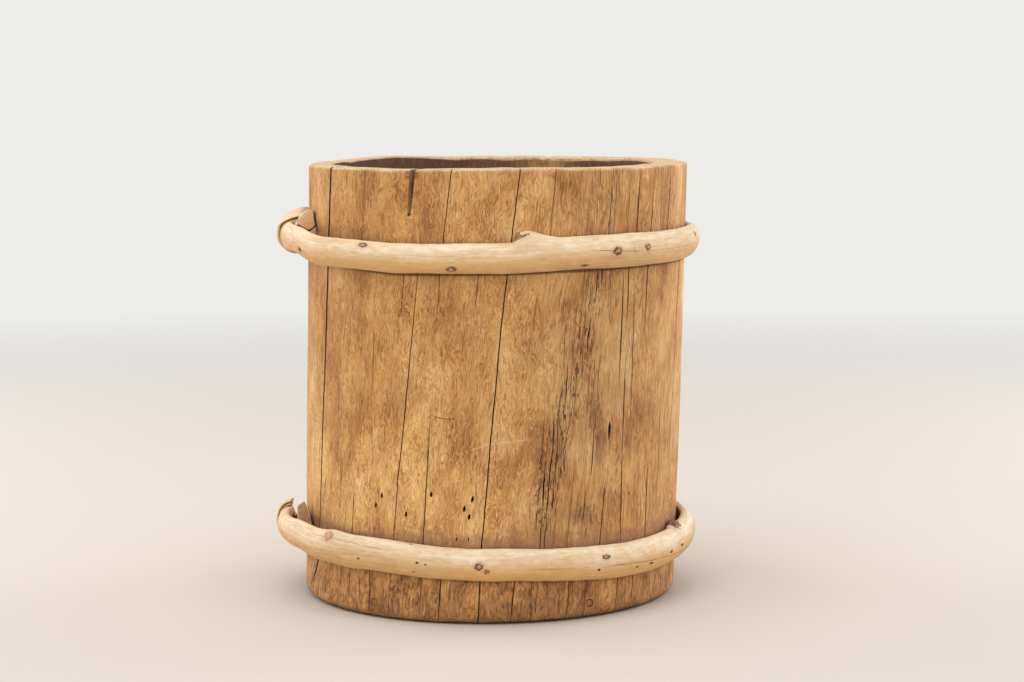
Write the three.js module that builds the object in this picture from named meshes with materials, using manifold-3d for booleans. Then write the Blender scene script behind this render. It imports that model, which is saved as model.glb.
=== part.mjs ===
// Rice container: one hollowed trunk with a plank bottom, held by two bent-branch hoops.
// Millimetres, +Z up, standing on z = 0. Angles are in degrees from the front (-Y) towards +X.
import * as THREE from 'three';
import { mergeVertices } from 'three/addons/utils/BufferGeometryUtils.js';
import Module from 'manifold-3d';

const { degToRad, radToDeg, lerp, smoothstep } = THREE.MathUtils;

// Trunk
const trunkHeight = 381;
const rimRadius = 167.5;
const footRadius = 165.5;
const lean = 10; // the rim's centre stands this far to the right of the foot's
const rimRound = 3;
const footRound = 5;
const boreRadius = 144;
const boreOffset = -4.6; // the hollow lies left of the trunk's centre, so the wall is uneven
const boreBevel = 4;
const trunkSegments = 72;

// Drying splits in the wall
const rimSlot = { angle: -25.5, depth: 38, topWidth: 4.4, bottomWidth: 1.2 };
const longCheck = { topAngle: -58.8, footAngle: -65, footEnd: 18, width: 1.8, depth: 12 };

// Bottom
const plankThickness = 26;
const plankCount = 3;
const plankSeam = 0.3;
const rabbetDepth = 5; // how far the bottom is let into the wall
const plankClearance = 0.4;
const pinRadius = 3;
const pinLength = 40;
const pinSpacing = 140;
const pinsPerSeam = 2;
const pegRadius = 3.5;
const pegGrip = 17; // how far the pegs enter the bottom where the wall is thickest
const pegSetback = 0.5; // outer ends sit just below the wall's surface
const pegAngles = [-36, 31, 92, 145, 214, 268]; // two in the ends of each plank
const holeClearance = 0.3;
const roundSides = 12;

// Hoop joints
const wallGap = 0.5;
const layerGap = 0.3;
const stripThickness = 2.5;
const stripWidth = 12;
const stripSlot = 1.5; // the strip's two ends stop short of each other behind the hoop
const stripGap = 0.6;
const lashAngle = -97;
const tuckTurns = [35, 75]; // the inner end stands off the wall, to let the strip pass behind it
const liftTurns = [315, 356]; // the outer end climbs over the inner one
const hoopSteps = 76;
const wedgeLength = 24;
const wedgeHeight = 7;
const wedgeThickness = [4, 9]; // at its point and at its butt
const wedgeOverhang = 3; // the butt stands out past the hoop's inner end
const wedgeSeat = 0.475; // the share of the branch's height, under its middle, where the point bears

// Each hoop starts at its inner end and runs round by the back, the right and the front.
// A station gives the turn in degrees, the rise over the hoop's level, the branch's size there,
// and how far its flat side springs clear of the wall.
const hoopStart = -70;
const upperHoop = {
  level: trunkHeight - 71.5,
  stations: [
    { turn: 0, rise: 24.5, height: 18, thickness: 12.5, slack: 0 },
    { turn: 35, rise: 18, height: 20, thickness: 12, slack: 0 },
    { turn: 110, rise: 10, height: 25, thickness: 12, slack: 0 },
    { turn: 200, rise: 4, height: 27.5, thickness: 12.5, slack: 0.5 },
    { turn: 270, rise: 3, height: 28.5, thickness: 12.5, slack: 0 },
    { turn: 288, rise: 0, height: 25, thickness: 12, slack: 0 },
    { turn: 318, rise: -1.2, height: 24.5, thickness: 11.5, slack: 0 },
    { turn: 350, rise: 3, height: 24, thickness: 11, slack: 0 },
    { turn: 376, rise: 6, height: 20, thickness: 10.5, slack: 0 },
    { turn: 398, rise: 9, height: 18, thickness: 9.5, slack: 0 },
  ],
  stub: { angle: 9.5, radius: 5, tipRadius: 3.75, length: 14, tilt: 62, sink: 2 },
};
const lowerHoop = {
  level: 51.5,
  stations: [
    { turn: 0, rise: 25, height: 20, thickness: 12.5, slack: 0 },
    { turn: 35, rise: 14, height: 20, thickness: 12, slack: 0 },
    { turn: 110, rise: 10, height: 26, thickness: 12.5, slack: 1 },
    { turn: 200, rise: 1, height: 31, thickness: 14, slack: 4 },
    { turn: 240, rise: -4.5, height: 30, thickness: 13.5, slack: 0 },
    { turn: 290, rise: 0, height: 27, thickness: 12.5, slack: 0 },
    { turn: 335, rise: 4.5, height: 26.5, thickness: 12, slack: 0 },
    { turn: 358, rise: 8, height: 25, thickness: 11, slack: 0 },
    { turn: 376, rise: 12, height: 21, thickness: 10.5, slack: 0 },
    { turn: 398, rise: 14, height: 18, thickness: 9.5, slack: 0 },
  ],
};

// Materials: one new instance for each piece
const wood = {
  trunk: { color: 0xb07f4c, roughness: 0.78, metalness: 0 },
  hoop: { color: 0xdcb98a, roughness: 0.6, metalness: 0 },
  strip: { color: 0xc99f66, roughness: 0.6, metalness: 0 },
  wedge: { color: 0xc8a274, roughness: 0.72, metalness: 0 },
  plank: { color: 0x8a6643, roughness: 0.85, metalness: 0 },
  pin: { color: 0xb99a5e, roughness: 0.7, metalness: 0 },
  peg: { color: 0x7d5a38, roughness: 0.8, metalness: 0 },
};

// The leaning group carries every piece, so all of them lean together.
const container = new THREE.Group();
container.matrixAutoUpdate = false;
container.matrix.makeShear(0, 0, 0, 0, lean / trunkHeight, 0);

function addPiece(name, geometry, finish) {
  const piece = new THREE.Mesh(geometry, new THREE.MeshStandardMaterial(wood[finish]));
  piece.name = name;
  container.add(piece);
  return piece;
}

// Boolean cuts
const wasm = await Module();
wasm.setup();

function toSolid(geometry) {
  const bare = geometry.clone();
  bare.deleteAttribute('normal');
  bare.deleteAttribute('uv');
  const merged = mergeVertices(bare);
  const index = Array.from(merged.index.array);
  const corners = [];
  for (let i = 0; i < index.length; i += 3) {
    const triangle = index.slice(i, i + 3);
    if (new Set(triangle).size === 3) {
      corners.push(...triangle);
    }
  }
  const vertProperties = new Float32Array(merged.attributes.position.array);
  return new wasm.Manifold(new wasm.Mesh({ numProp: 3, vertProperties, triVerts: new Uint32Array(corners) }));
}

function toGeometry(solid) {
  const mesh = solid.getMesh();
  const geometry = new THREE.BufferGeometry();
  geometry.setAttribute('position', new THREE.BufferAttribute(mesh.vertProperties, mesh.numProp));
  geometry.setIndex(new THREE.BufferAttribute(mesh.triVerts, 1));
  return geometry;
}

function cut(geometry, tools) {
  return toGeometry(tools.reduce((solid, tool) => solid.subtract(toSolid(tool)), toSolid(geometry)));
}

function join(geometry, other) {
  return toGeometry(toSolid(geometry).add(toSolid(other)));
}

// Places on the trunk
function wallRadius(z) {
  return lerp(footRadius, rimRadius, z / trunkHeight);
}

function around(angle, radius, z) {
  const a = degToRad(angle);
  return new THREE.Vector3(radius * Math.sin(a), -radius * Math.cos(a), z);
}

// Turns a shape's +X to point outwards at an angle round the trunk
function facing(geometry, angle) {
  return geometry.rotateZ(degToRad(angle - 90));
}

function revolve(profile) {
  const points = profile.map(([radius, z]) => new THREE.Vector2(radius, z));
  return new THREE.LatheGeometry(points, trunkSegments).rotateX(Math.PI / 2);
}

// A lying cylinder that points outwards, from one radius to another
function radialRod(radius, from, to, angle, z) {
  const rod = new THREE.CylinderGeometry(radius, radius, to - from, roundSides).rotateZ(-Math.PI / 2);
  return facing(rod.translate((from + to) / 2, 0, z), angle);
}

// Trunk wall
const rabbetRadius = boreRadius + rabbetDepth;
const ledgeLevel = plankThickness + layerGap;
const bottomRadius = rabbetRadius - plankClearance;
const pegLevel = plankThickness / 2;
const overcut = 1;

function roundedCorner(centreRadius, centreZ, radius, startAngle) {
  const steps = [0, 30, 60, 90];
  return steps.map((step) => {
    const a = degToRad(startAngle + step);
    return [centreRadius + radius * Math.cos(a), centreZ + radius * Math.sin(a)];
  });
}

function trunkOutside() {
  return revolve([
    [0, 0],
    ...roundedCorner(footRadius - footRound, footRound, footRound, -90),
    ...roundedCorner(rimRadius - rimRound, trunkHeight - rimRound, rimRound, 0),
    [0, trunkHeight],
  ]);
}

function trunkHollow() {
  const bevelTop = boreRadius + boreBevel + overcut;
  return revolve([
    [0, -overcut],
    [rabbetRadius, -overcut],
    [rabbetRadius, ledgeLevel],
    [boreRadius, ledgeLevel],
    [boreRadius, trunkHeight - boreBevel],
    [bevelTop, trunkHeight + overcut],
    [0, trunkHeight + overcut],
  ]).translate(boreOffset, 0, 0);
}

// A tapering slot that goes right through the wall at the rim
function rimSlotTool() {
  const { angle, depth, topWidth, bottomWidth } = rimSlot;
  const outline = new THREE.Shape([
    new THREE.Vector2(-bottomWidth / 2, -depth),
    new THREE.Vector2(bottomWidth / 2, -depth),
    new THREE.Vector2(topWidth / 2, overcut),
    new THREE.Vector2(-topWidth / 2, overcut),
  ]);
  const reach = 2 * (rimRadius - boreRadius);
  const slot = new THREE.ExtrudeGeometry(outline, { depth: reach, bevelEnabled: false });
  slot.rotateX(Math.PI / 2).rotateZ(Math.PI / 2);
  slot.translate(rimRadius + overcut - reach, 0, trunkHeight);
  return facing(slot, angle);
}

// A narrow groove that follows the spiral grain from the rim nearly to the foot
function longCheckTool() {
  const { topAngle, footAngle, footEnd, width, depth } = longCheck;
  const top = around(topAngle, rimRadius, trunkHeight + overcut);
  const foot = around(footAngle, wallRadius(footEnd), footEnd);
  const middleAngle = (topAngle + footAngle) / 2;
  const groove = new THREE.BoxGeometry(2 * depth, width, top.distanceTo(foot));
  facing(groove, middleAngle);
  const along = top.clone().sub(foot).normalize();
  const tilt = new THREE.Quaternion().setFromUnitVectors(new THREE.Vector3(0, 0, 1), along);
  const middle = top.add(foot).multiplyScalar(0.5);
  return groove.applyQuaternion(tilt).translate(middle.x, middle.y, middle.z);
}

function pegSpan() {
  const thickestSide = bottomRadius - Math.abs(boreOffset);
  return [thickestSide - pegGrip, wallRadius(pegLevel) - pegSetback];
}

function pegHole(angle) {
  const [inner, outer] = pegSpan();
  const hole = [inner - holeClearance, outer + pegSetback + overcut];
  return radialRod(pegRadius + holeClearance, ...hole, angle, pegLevel);
}

const pegHoles = pegAngles.map(pegHole);
const wallTools = [trunkHollow(), rimSlotTool(), longCheckTool(), ...pegHoles];
addPiece('trunk_wall', cut(trunkOutside(), wallTools), 'trunk');

// Bottom planks, edge-joined by pins and held in the rabbet by pegs
const plankWidth = (2 * bottomRadius - (plankCount - 1) * plankSeam) / plankCount;

function seamPlace(seam) {
  return -bottomRadius + (seam + 1) * (plankWidth + plankSeam) - plankSeam / 2;
}

function pinGeometry(extra) {
  return new THREE.CylinderGeometry(pinRadius + extra, pinRadius + extra, pinLength + 2 * extra, roundSides);
}

const pins = [];
for (let seam = 0; seam < plankCount - 1; seam += 1) {
  for (let k = 0; k < pinsPerSeam; k += 1) {
    const x = boreOffset + (k - (pinsPerSeam - 1) / 2) * pinSpacing;
    pins.push({ x, y: seamPlace(seam), z: plankThickness / 2 });
  }
}
const pinHoles = pins.map(({ x, y, z }) => pinGeometry(holeClearance).translate(x, y, z));

for (let k = 0; k < plankCount; k += 1) {
  const disc = new THREE.CylinderGeometry(bottomRadius, bottomRadius, plankThickness, trunkSegments);
  disc.rotateX(Math.PI / 2).translate(boreOffset, 0, plankThickness / 2);
  const strip = new THREE.BoxGeometry(2 * rimRadius, plankWidth, 2 * plankThickness);
  const centreY = -bottomRadius + plankWidth / 2 + k * (plankWidth + plankSeam);
  strip.translate(boreOffset, centreY, plankThickness / 2);
  const blank = toGeometry(toSolid(disc).intersect(toSolid(strip)));
  addPiece(`bottom_plank_${k + 1}`, cut(blank, [...pinHoles, ...pegHoles]), 'plank');
}

pins.forEach(({ x, y, z }, k) => {
  addPiece(`bottom_pin_${k + 1}`, pinGeometry(0), 'pin').position.set(x, y, z);
});

pegAngles.forEach((angle, k) => {
  addPiece(`bottom_peg_${k + 1}`, radialRod(pegRadius, ...pegSpan(), angle, pegLevel), 'peg');
});

// Hoops: a half-round branch, its flat side to the wall, bent round the trunk.
// The outline is one branch height wide and one branch thickness deep.
const halfRound = new THREE.Shape();
const halfFlat = 0.42;
const halfHeight = 0.5;
const shoulder = 0.25;
halfRound.moveTo(halfFlat, 0);
halfRound.lineTo(halfHeight, shoulder);
halfRound.absellipse(0, shoulder, halfHeight, 1 - shoulder, 0, Math.PI, false);
halfRound.lineTo(-halfFlat, 0);
halfRound.closePath();
const halfRoundSegments = 8;

function stationAt(hoop, turn) {
  const { stations } = hoop;
  const next = Math.max(1, stations.findIndex((station) => station.turn >= turn));
  const [a, b] = [stations[next - 1], stations[next]];
  const share = smoothstep(turn, a.turn, b.turn);
  return {
    level: hoop.level + lerp(a.rise, b.rise, share),
    height: lerp(a.height, b.height, share),
    thickness: lerp(a.thickness, b.thickness, share),
    slack: lerp(a.slack, b.slack, share),
  };
}

// Distance from the wall to the hoop's flat side
function standOff(hoop, turn) {
  const tuck = wallGap + stripThickness + stripGap;
  const overInner = tuck + hoop.stations[0].thickness + layerGap;
  const onWall = wallGap + stationAt(hoop, turn).slack;
  const inner = lerp(tuck, onWall, smoothstep(turn, ...tuckTurns));
  return lerp(inner, overInner, smoothstep(turn, ...liftTurns));
}

// A point of the half-round outline, as its radius and its height, after a turn from the inner end
function hoopPoint(hoop, turn, across, out) {
  const { level, height, thickness } = stationAt(hoop, turn);
  const z = level - across * height;
  return [wallRadius(z) + standOff(hoop, turn) + out * thickness, z];
}

function hoopGeometry(hoop) {
  const fullTurn = hoop.stations.at(-1).turn;
  const options = { depth: 1, steps: hoopSteps, bevelEnabled: false, curveSegments: halfRoundSegments };
  const branch = new THREE.ExtrudeGeometry(halfRound, options);
  const position = branch.getAttribute('position');
  for (let i = 0; i < position.count; i += 1) {
    const turn = position.getZ(i) * fullTurn;
    const [radius, z] = hoopPoint(hoop, turn, position.getX(i), position.getY(i));
    position.setXYZ(i, ...around(hoopStart - turn, radius, z));
  }
  return branch;
}

// The cut stub of a side branch, leaning along the hoop
function stubGeometry(hoop) {
  const { angle, radius, tipRadius, length, tilt, sink } = hoop.stub;
  const { level, height, thickness } = stationAt(hoop, hoopStart + 360 - angle);
  const stub = new THREE.CylinderGeometry(tipRadius, radius, length, roundSides);
  stub.translate(0, length / 2, 0).rotateX(Math.PI / 2).rotateX(degToRad(tilt));
  const root = wallRadius(level) + wallGap + thickness / 2;
  return facing(stub.translate(root, 0, level + height / 2 - sink), angle);
}

// Lashing: a strip looped round both ends of a hoop where they overlap
function hullOutline(points) {
  const sorted = points.toSorted((a, b) => a.x - b.x || a.y - b.y);
  const turnsLeft = (a, b, c) => (b.x - a.x) * (c.y - a.y) - (b.y - a.y) * (c.x - a.x) > 0;
  const half = (list) => {
    const chain = [];
    for (const point of list) {
      while (chain.length > 1 && !turnsLeft(chain.at(-2), chain.at(-1), point)) {
        chain.pop();
      }
      chain.push(point);
    }
    return chain.slice(0, -1);
  };
  return [...half(sorted), ...half(sorted.toReversed())];
}

// Moves each side of a convex outline outwards by the same distance
function grow(outline, distance) {
  return outline.map((point, i) => {
    const before = outline.at(i - 1);
    const after = outline[(i + 1) % outline.length];
    const normalIn = new THREE.Vector2(point.y - before.y, before.x - point.x).normalize();
    const normalOut = new THREE.Vector2(after.y - point.y, point.x - after.x).normalize();
    const mitre = normalIn.clone().add(normalOut);
    return mitre.multiplyScalar(distance / (1 + normalIn.dot(normalOut))).add(point);
  });
}

function lashingGeometry(hoop) {
  const innerTurn = hoopStart - lashAngle;
  const { level } = stationAt(hoop, innerTurn);
  const halfTurn = radToDeg(stripWidth / 2 / wallRadius(level));
  const turns = [innerTurn, innerTurn + 360].flatMap((turn) => [turn - halfTurn, turn + halfTurn]);
  const section = halfRound.getPoints(halfRoundSegments);
  const points = turns.flatMap((turn) =>
    section.map(({ x, y }) => new THREE.Vector2(...hoopPoint(hoop, turn, x, y))),
  );
  const hull = hullOutline(points);
  const loop = new THREE.Shape(grow(hull, stripGap + stripThickness));
  loop.holes.push(new THREE.Path(grow(hull, stripGap)));
  const strip = new THREE.ExtrudeGeometry(loop, { depth: stripWidth, bevelEnabled: false });
  strip.translate(0, 0, -stripWidth / 2).rotateX(Math.PI / 2);
  const slot = new THREE.BoxGeometry(2 * stripThickness, 2 * stripWidth, stripSlot);
  slot.translate(wallRadius(level) + wallGap + stripThickness / 2, 0, level);
  return facing(cut(strip, [slot]), lashAngle);
}

// Wedge: a tapered sliver driven between the wall and the hoop, under the inner end
function wedgeGeometry(hoop) {
  const turnFor = (length) => radToDeg(length / wallRadius(hoop.level));
  const buriedTurn = turnFor(wedgeLength - wedgeOverhang);
  const [, buttTop] = hoopPoint(hoop, 0, halfHeight, 0);
  const [, pointTop] = hoopPoint(hoop, buriedTurn, wedgeSeat, 0);
  const top = Math.min(buttTop, pointTop) - layerGap;
  const foot = top - wedgeHeight;
  const start = Math.max(wallRadius(top), wallRadius(foot)) + wallGap;
  const plan = new THREE.Shape([
    new THREE.Vector2(start, -wedgeLength / 2),
    new THREE.Vector2(start + wedgeThickness[0], -wedgeLength / 2),
    new THREE.Vector2(start + wedgeThickness[1], wedgeLength / 2),
    new THREE.Vector2(start, wedgeLength / 2),
  ]);
  const wedge = new THREE.ExtrudeGeometry(plan, { depth: wedgeHeight, bevelEnabled: false });
  return facing(wedge.translate(0, 0, foot), hoopStart - turnFor(wedgeLength / 2 - wedgeOverhang));
}

addPiece('upper_hoop', join(hoopGeometry(upperHoop), stubGeometry(upperHoop)), 'hoop');
addPiece('lower_hoop', hoopGeometry(lowerHoop), 'hoop');
addPiece('upper_hoop_lashing', lashingGeometry(upperHoop), 'strip');
addPiece('lower_hoop_lashing', lashingGeometry(lowerHoop), 'strip');
addPiece('upper_hoop_wedge', wedgeGeometry(upperHoop), 'wedge');
addPiece('lower_hoop_wedge', wedgeGeometry(lowerHoop), 'wedge');

export default container;
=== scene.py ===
"""Looks of the hollowed-trunk rice container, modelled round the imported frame.

Sizes are in millimetres and angles in degrees from the front (-Y) towards +X. Meshes are made in metres.
"""
import math
from collections import namedtuple

import bpy
import numpy as np
from mathutils import Matrix, Vector, noise


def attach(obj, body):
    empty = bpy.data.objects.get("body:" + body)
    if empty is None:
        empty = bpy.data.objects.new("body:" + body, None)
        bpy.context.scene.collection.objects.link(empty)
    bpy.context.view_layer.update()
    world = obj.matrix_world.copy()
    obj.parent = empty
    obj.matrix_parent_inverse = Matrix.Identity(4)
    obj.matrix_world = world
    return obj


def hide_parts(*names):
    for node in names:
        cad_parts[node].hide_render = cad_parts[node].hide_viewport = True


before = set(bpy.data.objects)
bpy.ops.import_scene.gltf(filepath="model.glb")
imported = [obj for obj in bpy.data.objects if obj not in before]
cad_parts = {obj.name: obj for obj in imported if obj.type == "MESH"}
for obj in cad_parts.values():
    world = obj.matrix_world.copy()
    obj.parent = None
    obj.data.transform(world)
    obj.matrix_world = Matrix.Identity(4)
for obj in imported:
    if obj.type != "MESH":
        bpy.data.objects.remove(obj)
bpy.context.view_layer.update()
rng = np.random.default_rng(11)
MM = 0.001

# Trunk
TRUNK_HEIGHT = 381.0
RIM_RADIUS = 167.5
FOOT_RADIUS = 165.5
LEAN = 10.0
RIM_ROUND = 2.2
FOOT_ROUND = 8.0
BORE_RADIUS = 144.0
BORE_OFFSET = -4.6
BORE_BEVEL = 3.2
GRAIN_TWIST = 0.026  # degrees for each millimetre of height
MIDDLE = TRUNK_HEIGHT / 2
COLUMN_STEP = 5.2
ROW_STEP = 4.3
HOLE_ROW_STEP = 1.3
HOLE_BAND = (66.0, 116.0)
INNER_ROW_STEP = 12.0
GOUGE_TURN = 9.5
GOUGE_LENGTH = 74.0

# Bottom
PLANK_THICKNESS = 26.0
PLANK_COUNT = 3
PLANK_SEAM = 0.3
LEDGE_LEVEL = PLANK_THICKNESS + 0.3
RABBET_DEPTH = 5.0
BOTTOM_RADIUS = BORE_RADIUS + RABBET_DEPTH - 0.4
PEG_RADIUS = 3.5
PEG_LEVEL = PLANK_THICKNESS / 2
PEG_GRIP = 17.0
PEG_PROUD = 0.3
PEG_ANGLES = (-36, 31, 92, 145, 214, 268)
PIN_COUNT = 4
PIN_RADIUS = 3.0
PIN_LENGTH = 40.0
PIN_SPACING = 140.0
HOLE_CLEARANCE = 0.06

# Hoops: each runs from its inner end round by the back, the right and the front
HOOP_START = -70.0
WALL_GAP = 0.5
LAYER_GAP = 0.3
STRIP_THICKNESS = 2.5
STRIP_WIDTH = 12.0
STRIP_GAP = 0.6
TUCK = WALL_GAP + STRIP_THICKNESS + STRIP_GAP
TUCK_TURNS = (35, 75)
LIFT_TURNS = (315, 356)
LASH_ANGLE = -97.0


# Small helpers
def smoothstep(x, low, high):
    t = np.clip((x - low) / (high - low), 0, 1)
    return t * t * (3 - 2 * t)


def lerp(a, b, share):
    return a + (b - a) * share


def rough(points, size, seed):
    """Smooth noise from -1 to 1, with swells about one size across; size may differ by axis."""
    flat = (np.asarray(points, float) / size).reshape(-1, 3) + seed * np.array((17.3, 5.7, 29.1))
    values = np.fromiter((noise.noise(p) for p in flat), float, len(flat))
    return values.reshape(np.shape(points)[:-1])


def spot(x, y, centre_x, centre_y, radius_x, radius_y):
    """A soft round patch: 1 at its centre, fading to 0."""
    return np.exp(-((x - centre_x) / radius_x) ** 2 - ((y - centre_y) / radius_y) ** 2)


def turn_difference(a, b):
    return (np.asarray(a) - b + 180) % 360 - 180


def stripe(angle, centre, half_width):
    """A soft upright stripe: 1 at its middle angle, fading to 0."""
    return np.exp(-((turn_difference(angle, centre) / half_width) ** 2))


def wall_radius(z):
    return lerp(FOOT_RADIUS, RIM_RADIUS, z / TRUNK_HEIGHT)


def bore_distance(angle, radius):
    """Distance from the trunk's axis to a circle about the bore's axis."""
    a = np.radians(angle)
    return BORE_OFFSET * np.sin(a) + np.sqrt(radius**2 - (BORE_OFFSET * np.cos(a)) ** 2)


def place(angle, radius, z):
    """Points at an angle, radius and height, leaning as the whole container does."""
    a = np.radians(angle)
    x = radius * np.sin(a) + LEAN * z / TRUNK_HEIGHT
    return np.stack(np.broadcast_arrays(x, -radius * np.cos(a), z), -1)


def grid_faces(rings, sides, closed):
    """Quads that join each ring of points to the next; a closed run joins the last ring to the first."""
    i, j = np.meshgrid(np.arange(rings if closed else rings - 1), np.arange(sides), indexing="ij")
    after = (i + 1) % rings
    beside = (j + 1) % sides
    corners = [i * sides + j, after * sides + j, after * sides + beside, i * sides + beside]
    return np.stack(corners, -1).reshape(-1, 4).tolist()


def add_mesh(name, points, faces, attributes, material):
    mesh = bpy.data.meshes.new(name)
    mesh.from_pydata((np.reshape(points, (-1, 3)) * MM).tolist(), [], faces)
    for key, values in attributes.items():
        is_vector = np.shape(values)[-1] == 3 and np.ndim(values) > 1
        data = mesh.attributes.new(key, "FLOAT_VECTOR" if is_vector else "FLOAT", "POINT").data
        data.foreach_set("vector" if is_vector else "value", np.asarray(values, np.float32).ravel())
    mesh.shade_smooth()
    mesh.materials.append(material)
    piece = bpy.data.objects.new(name, mesh)
    bpy.context.scene.collection.objects.link(piece)
    return piece


def stand_for(piece, node):
    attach(piece, "root")
    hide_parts(node)


# Materials
class Shader:
    """A node material whose Principled shader is wired by short calls."""

    def __init__(self, name):
        self.material = bpy.data.materials.new(name)
        self.material.use_nodes = True
        self.tree = self.material.node_tree
        self.surface = self.tree.nodes["Principled BSDF"]

    def feed(self, socket, value):
        if isinstance(value, bpy.types.NodeSocket):
            self.tree.links.new(value, socket)
        else:
            socket.default_value = value

    def node(self, kind, inputs, **settings):
        made = self.tree.nodes.new(kind)
        for key, value in settings.items():
            setattr(made, key, value)
        for key, value in inputs.items():
            self.feed(made.inputs[key], value)
        return made

    def attribute(self, name, output="Fac"):
        return self.node("ShaderNodeAttribute", {}, attribute_name=name).outputs[output]

    def noise(self, vector, size, detail=3.0, roughness=0.55, distortion=0.0, output="Fac"):
        """Noise with features about one size across, where size gives three millimetre lengths."""
        scaled = self.node("ShaderNodeMapping", {"Vector": vector, "Scale": [1 / s for s in size]})
        inputs = {"Vector": scaled.outputs[0], "Scale": 1.0, "Detail": detail, "Roughness": roughness}
        inputs["Distortion"] = distortion
        return self.node("ShaderNodeTexNoise", inputs).outputs[output]

    def math(self, operation, a, b=0.0, clamp=False):
        return self.node("ShaderNodeMath", {0: a, 1: b}, operation=operation, use_clamp=clamp).outputs[0]

    def times(self, a, b, clamp=False):
        return self.math("MULTIPLY", a, b, clamp)

    def vector_math(self, operation, a, b):
        return self.node("ShaderNodeVectorMath", {0: a, 1: b}, operation=operation).outputs[0]

    def scale(self, vector, factor):
        return self.node("ShaderNodeVectorMath", {0: vector, "Scale": factor}, operation="SCALE").outputs[0]

    def length(self, vector):
        return self.node("ShaderNodeVectorMath", {0: vector}, operation="LENGTH").outputs["Value"]

    def beside(self, value, level, near, far, share):
        """A line drawn where a value is close to a level."""
        away = self.math("ABSOLUTE", self.math("SUBTRACT", value, level))
        return self.span(away, near, far, share, 0.0)

    def span(self, value, low, high, to_low=0.0, to_high=1.0):
        inputs = {"Value": value, "From Min": low, "From Max": high, "To Min": to_low, "To Max": to_high}
        return self.node("ShaderNodeMapRange", inputs, clamp=True).outputs[0]

    def ramp(self, value, stops):
        made = self.node("ShaderNodeValToRGB", {"Fac": value})
        elements = made.color_ramp.elements
        while len(elements) < len(stops):
            elements.new(1.0)
        for element, (position, colour) in zip(elements, stops):
            element.position = position
            element.color = (*colour, 1)
        return made.outputs["Color"]

    def mix(self, share, a, b, blend="MIX"):
        made = self.node("ShaderNodeMix", {}, data_type="RGBA", blend_type=blend)
        for socket, value in ((made.inputs[0], share), (made.inputs[6], a), (made.inputs[7], b)):
            is_colour = isinstance(value, tuple)
            self.feed(socket, (*value, 1) if is_colour else value)
        return made.outputs[2]

    def tint(self, share, colour, factor):
        return self.mix(share, colour, factor, "MULTIPLY")

    def weigh(self, *terms):
        """The sum of (value, weight) pairs."""
        total = None
        for value, weight in terms:
            part = self.times(value, weight)
            total = part if total is None else self.math("ADD", total, part)
        return total

    def finish(self, colour, roughness, height, bump):
        self.feed(self.surface.inputs["Base Color"], colour)
        self.feed(self.surface.inputs["Roughness"], roughness)
        inputs = {"Height": height, "Strength": bump, "Distance": MM}
        normal = self.node("ShaderNodeBump", inputs).outputs["Normal"]
        self.feed(self.surface.inputs["Normal"], normal)
        return self.material


# Near-black colour of painted shade
CAVITY_SHADE_COLOUR = (0.036, 0.015, 0.006)
CREVICE_SHADE_REACH = 0.012  # painted shade darkens the colour where other wood is nearer than this, in metres

# Colours by tone
TRUNK_STOPS = [
    (0.385, (0.28, 0.104, 0.029)),
    (0.445, (0.44, 0.190, 0.053)),
    (0.50, (0.57, 0.282, 0.084)),
    (0.555, (0.68, 0.370, 0.128)),
    (0.615, (0.78, 0.480, 0.200)),
]
FOOT_STOPS = [
    (0.39, (0.085, 0.031, 0.010)),
    (0.455, (0.35, 0.142, 0.039)),
    (0.53, (0.55, 0.240, 0.065)),
    (0.61, (0.74, 0.395, 0.138)),
]
HOLLOW_STOPS = [(0.36, (0.070, 0.034, 0.018)), (0.52, (0.160, 0.078, 0.040)), (0.66, (0.28, 0.15, 0.08))]
RIM_STOPS = [(0.36, (0.42, 0.24, 0.105)), (0.5, (0.64, 0.44, 0.25)), (0.64, (0.75, 0.58, 0.38))]
TORN_STOPS = [(0.38, (0.07, 0.030, 0.013)), (0.5, (0.24, 0.115, 0.05)), (0.64, (0.50, 0.30, 0.16))]
HOOP_STOPS = [
    (0.36, (0.56, 0.38, 0.20)),
    (0.48, (0.74, 0.58, 0.38)),
    (0.58, (0.82, 0.69, 0.50)),
    (0.68, (0.90, 0.80, 0.63)),
]
STRIP_STOPS = [(0.38, (0.40, 0.21, 0.08)), (0.47, (0.76, 0.56, 0.31)), (0.62, (0.88, 0.74, 0.50))]
WEDGE_STOPS = [(0.36, (0.48, 0.30, 0.16)), (0.5, (0.68, 0.48, 0.28)), (0.66, (0.78, 0.62, 0.42))]
PLANK_STOPS = [(0.36, (0.09, 0.045, 0.022)), (0.5, (0.17, 0.09, 0.045)), (0.66, (0.27, 0.155, 0.08))]
PEG_STOPS = [(0.36, (0.15, 0.058, 0.020)), (0.5, (0.33, 0.140, 0.042)), (0.66, (0.50, 0.235, 0.078))]

# Tints laid over parts of the wall, by the attribute that places them; the pale one also paints a highlight
# on the wall's sides and back
TINTS = {"golden": (0.95, 0.90, 0.76), "pale": (1.17, 1.24, 1.30), "dull": (0.88, 0.90, 0.96)}

# Long thin brown lines along the grain: size, half width in tone, strength, colour
THREADS = [
    ((6, 6, 170), 0.015, 0.75, (0.24, 0.095, 0.032)),
    ((2.4, 2.4, 80), 0.02, 0.42, (0.26, 0.10, 0.034)),
]


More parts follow.
